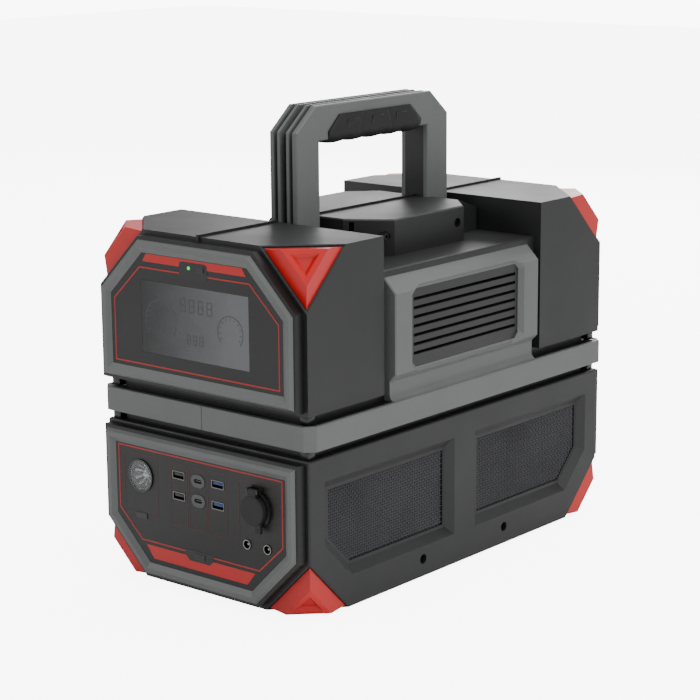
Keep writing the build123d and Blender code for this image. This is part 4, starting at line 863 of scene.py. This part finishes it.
# %% Marks on the pads
MARK_THICK = 0.8 * MM
MARK_WIDE = 0.9 * MM
MARK_LONG = 15 * MM
MARK_DOWN = 7.5 * MM
PAD_STEP = 54 * MM
marks = []
for side in (-1, 1):
    for middle in (-0.62, 0.02, 0.66):
        y = GRIP_MID + middle * PAD_STEP
        x = side * (GRIP_SIDE + PAD)
        marks.append(block(x, y, GRIP_HIGH.z - 5 * MM, MARK_THICK, MARK_LONG, MARK_WIDE,
                           0.2 * MM))
        marks.append(block(x, y - MARK_LONG / 2, GRIP_HIGH.z - 8.5 * MM, MARK_THICK, MARK_WIDE,
                           MARK_DOWN, 0.2 * MM))
finish(join(marks), "grip_marks", "case", KEY)

# %% [markdown]
# ## Studio
#
# A plain pale floor, one big soft light overhead, one at each side and a low wide one behind:
# the last puts the long pale gradients on the pods' flat tops.  Paper and room look whiter to
# the camera than the light they give, as on a well lit sweep, so the dark plastics stay dark.

# %% Floor, lights and camera
ROOM_LIGHT = 0.5                                # what the room gives the object
ROOM_SEEN = 9.0                                 # what the camera sees behind it
PAPER_SEEN = 7.0                                # and of the paper


def area_light(name, place, target, width, height, power, colour="#ffffff"):
    data = bpy.data.lights.new(name, "AREA")
    data.shape = "RECTANGLE"
    data.size = width
    data.size_y = height
    data.energy = power
    data.color = srgb(colour)[:3]
    light = bpy.data.objects.new(name, data)
    bpy.context.scene.collection.objects.link(light)
    light.location = place
    aim = Vector(target) - Vector(place)
    light.rotation_euler = aim.to_track_quat("-Z", "Y").to_euler()
    return light


start()
bpy.ops.mesh.primitive_plane_add(size=12, location=(0, 0, 0))
floor = bpy.context.object
floor.name = "studio_floor"
floor_material, floor_tree, floor_shader = blank("white_studio_paper")[:3]
floor_shader.inputs["Base Color"].default_value = srgb("#ffffff")
floor_shader.inputs["Roughness"].default_value = 0.9
paper_seen = add(floor_tree, "ShaderNodeLightPath").outputs["Is Camera Ray"]
paper_glow = add(floor_tree, "ShaderNodeMath", {0: paper_seen, 1: PAPER_SEEN},
                 operation="MULTIPLY")
floor_shader.inputs["Emission Color"].default_value = srgb("#ffffff")
floor_tree.links.new(paper_glow.outputs[0], floor_shader.inputs["Emission Strength"])
floor.data.materials.append(floor_material)

world = bpy.context.scene.world or bpy.data.worlds.new("studio")
bpy.context.scene.world = world
world.use_nodes = True
background = world.node_tree.nodes["Background"]
background.inputs["Color"].default_value = srgb("#ffffff")
seen = add(world.node_tree, "ShaderNodeLightPath").outputs["Is Camera Ray"]
glow = add(world.node_tree, "ShaderNodeMapRange", {"Value": seen, "To Min": ROOM_LIGHT,
                                                   "To Max": ROOM_SEEN})
world.node_tree.links.new(glow.outputs["Result"], background.inputs["Strength"])

area_light("roof_softbox", (0.3, 0.2, 2.0), (0, 0, 0.2), 1.6, 1.6, 26)
area_light("left_softbox", (-1.6, -1.6, 1.2), (0, 0, 0.2), 1.2, 1.2, 13)
area_light("right_softbox", (2.0, -0.6, 1.1), (0, 0, 0.2), 1.0, 1.4, 20)
area_light("rear_softbox", (-0.7, 2.2, 1.0), (0, 0, 0.3), 2.4, 1.0, 36)

AZIMUTH = radians(40.079)
ELEVATION = radians(12.817)
ROLL = radians(-0.421)
CAMERA_X, CAMERA_Y, CAMERA_Z = 1.22393, -1.4709, 0.61964
FOCAL_LENGTH = 107.57                           # millimetres, as the sensor's width
SENSOR_WIDTH = 36
back = Vector((sin(AZIMUTH) * cos(ELEVATION), -cos(AZIMUTH) * cos(ELEVATION), sin(ELEVATION)))
right = Vector((cos(AZIMUTH), sin(AZIMUTH), 0))
up = back.cross(right)
right, up = cos(ROLL) * right + sin(ROLL) * up, cos(ROLL) * up - sin(ROLL) * right
camera_data = bpy.data.cameras.new("camera")
camera_data.sensor_width = SENSOR_WIDTH
camera_data.lens = FOCAL_LENGTH
camera = bpy.data.objects.new("camera", camera_data)
bpy.context.scene.collection.objects.link(camera)
camera.matrix_world = Matrix((
    (right.x, up.x, back.x, CAMERA_X),
    (right.y, up.y, back.y, CAMERA_Y),
    (right.z, up.z, back.z, CAMERA_Z),
    (0, 0, 0, 1),
))
bpy.context.scene.camera = camera
print("camera at", tuple(round(v, 3) for v in camera.location))
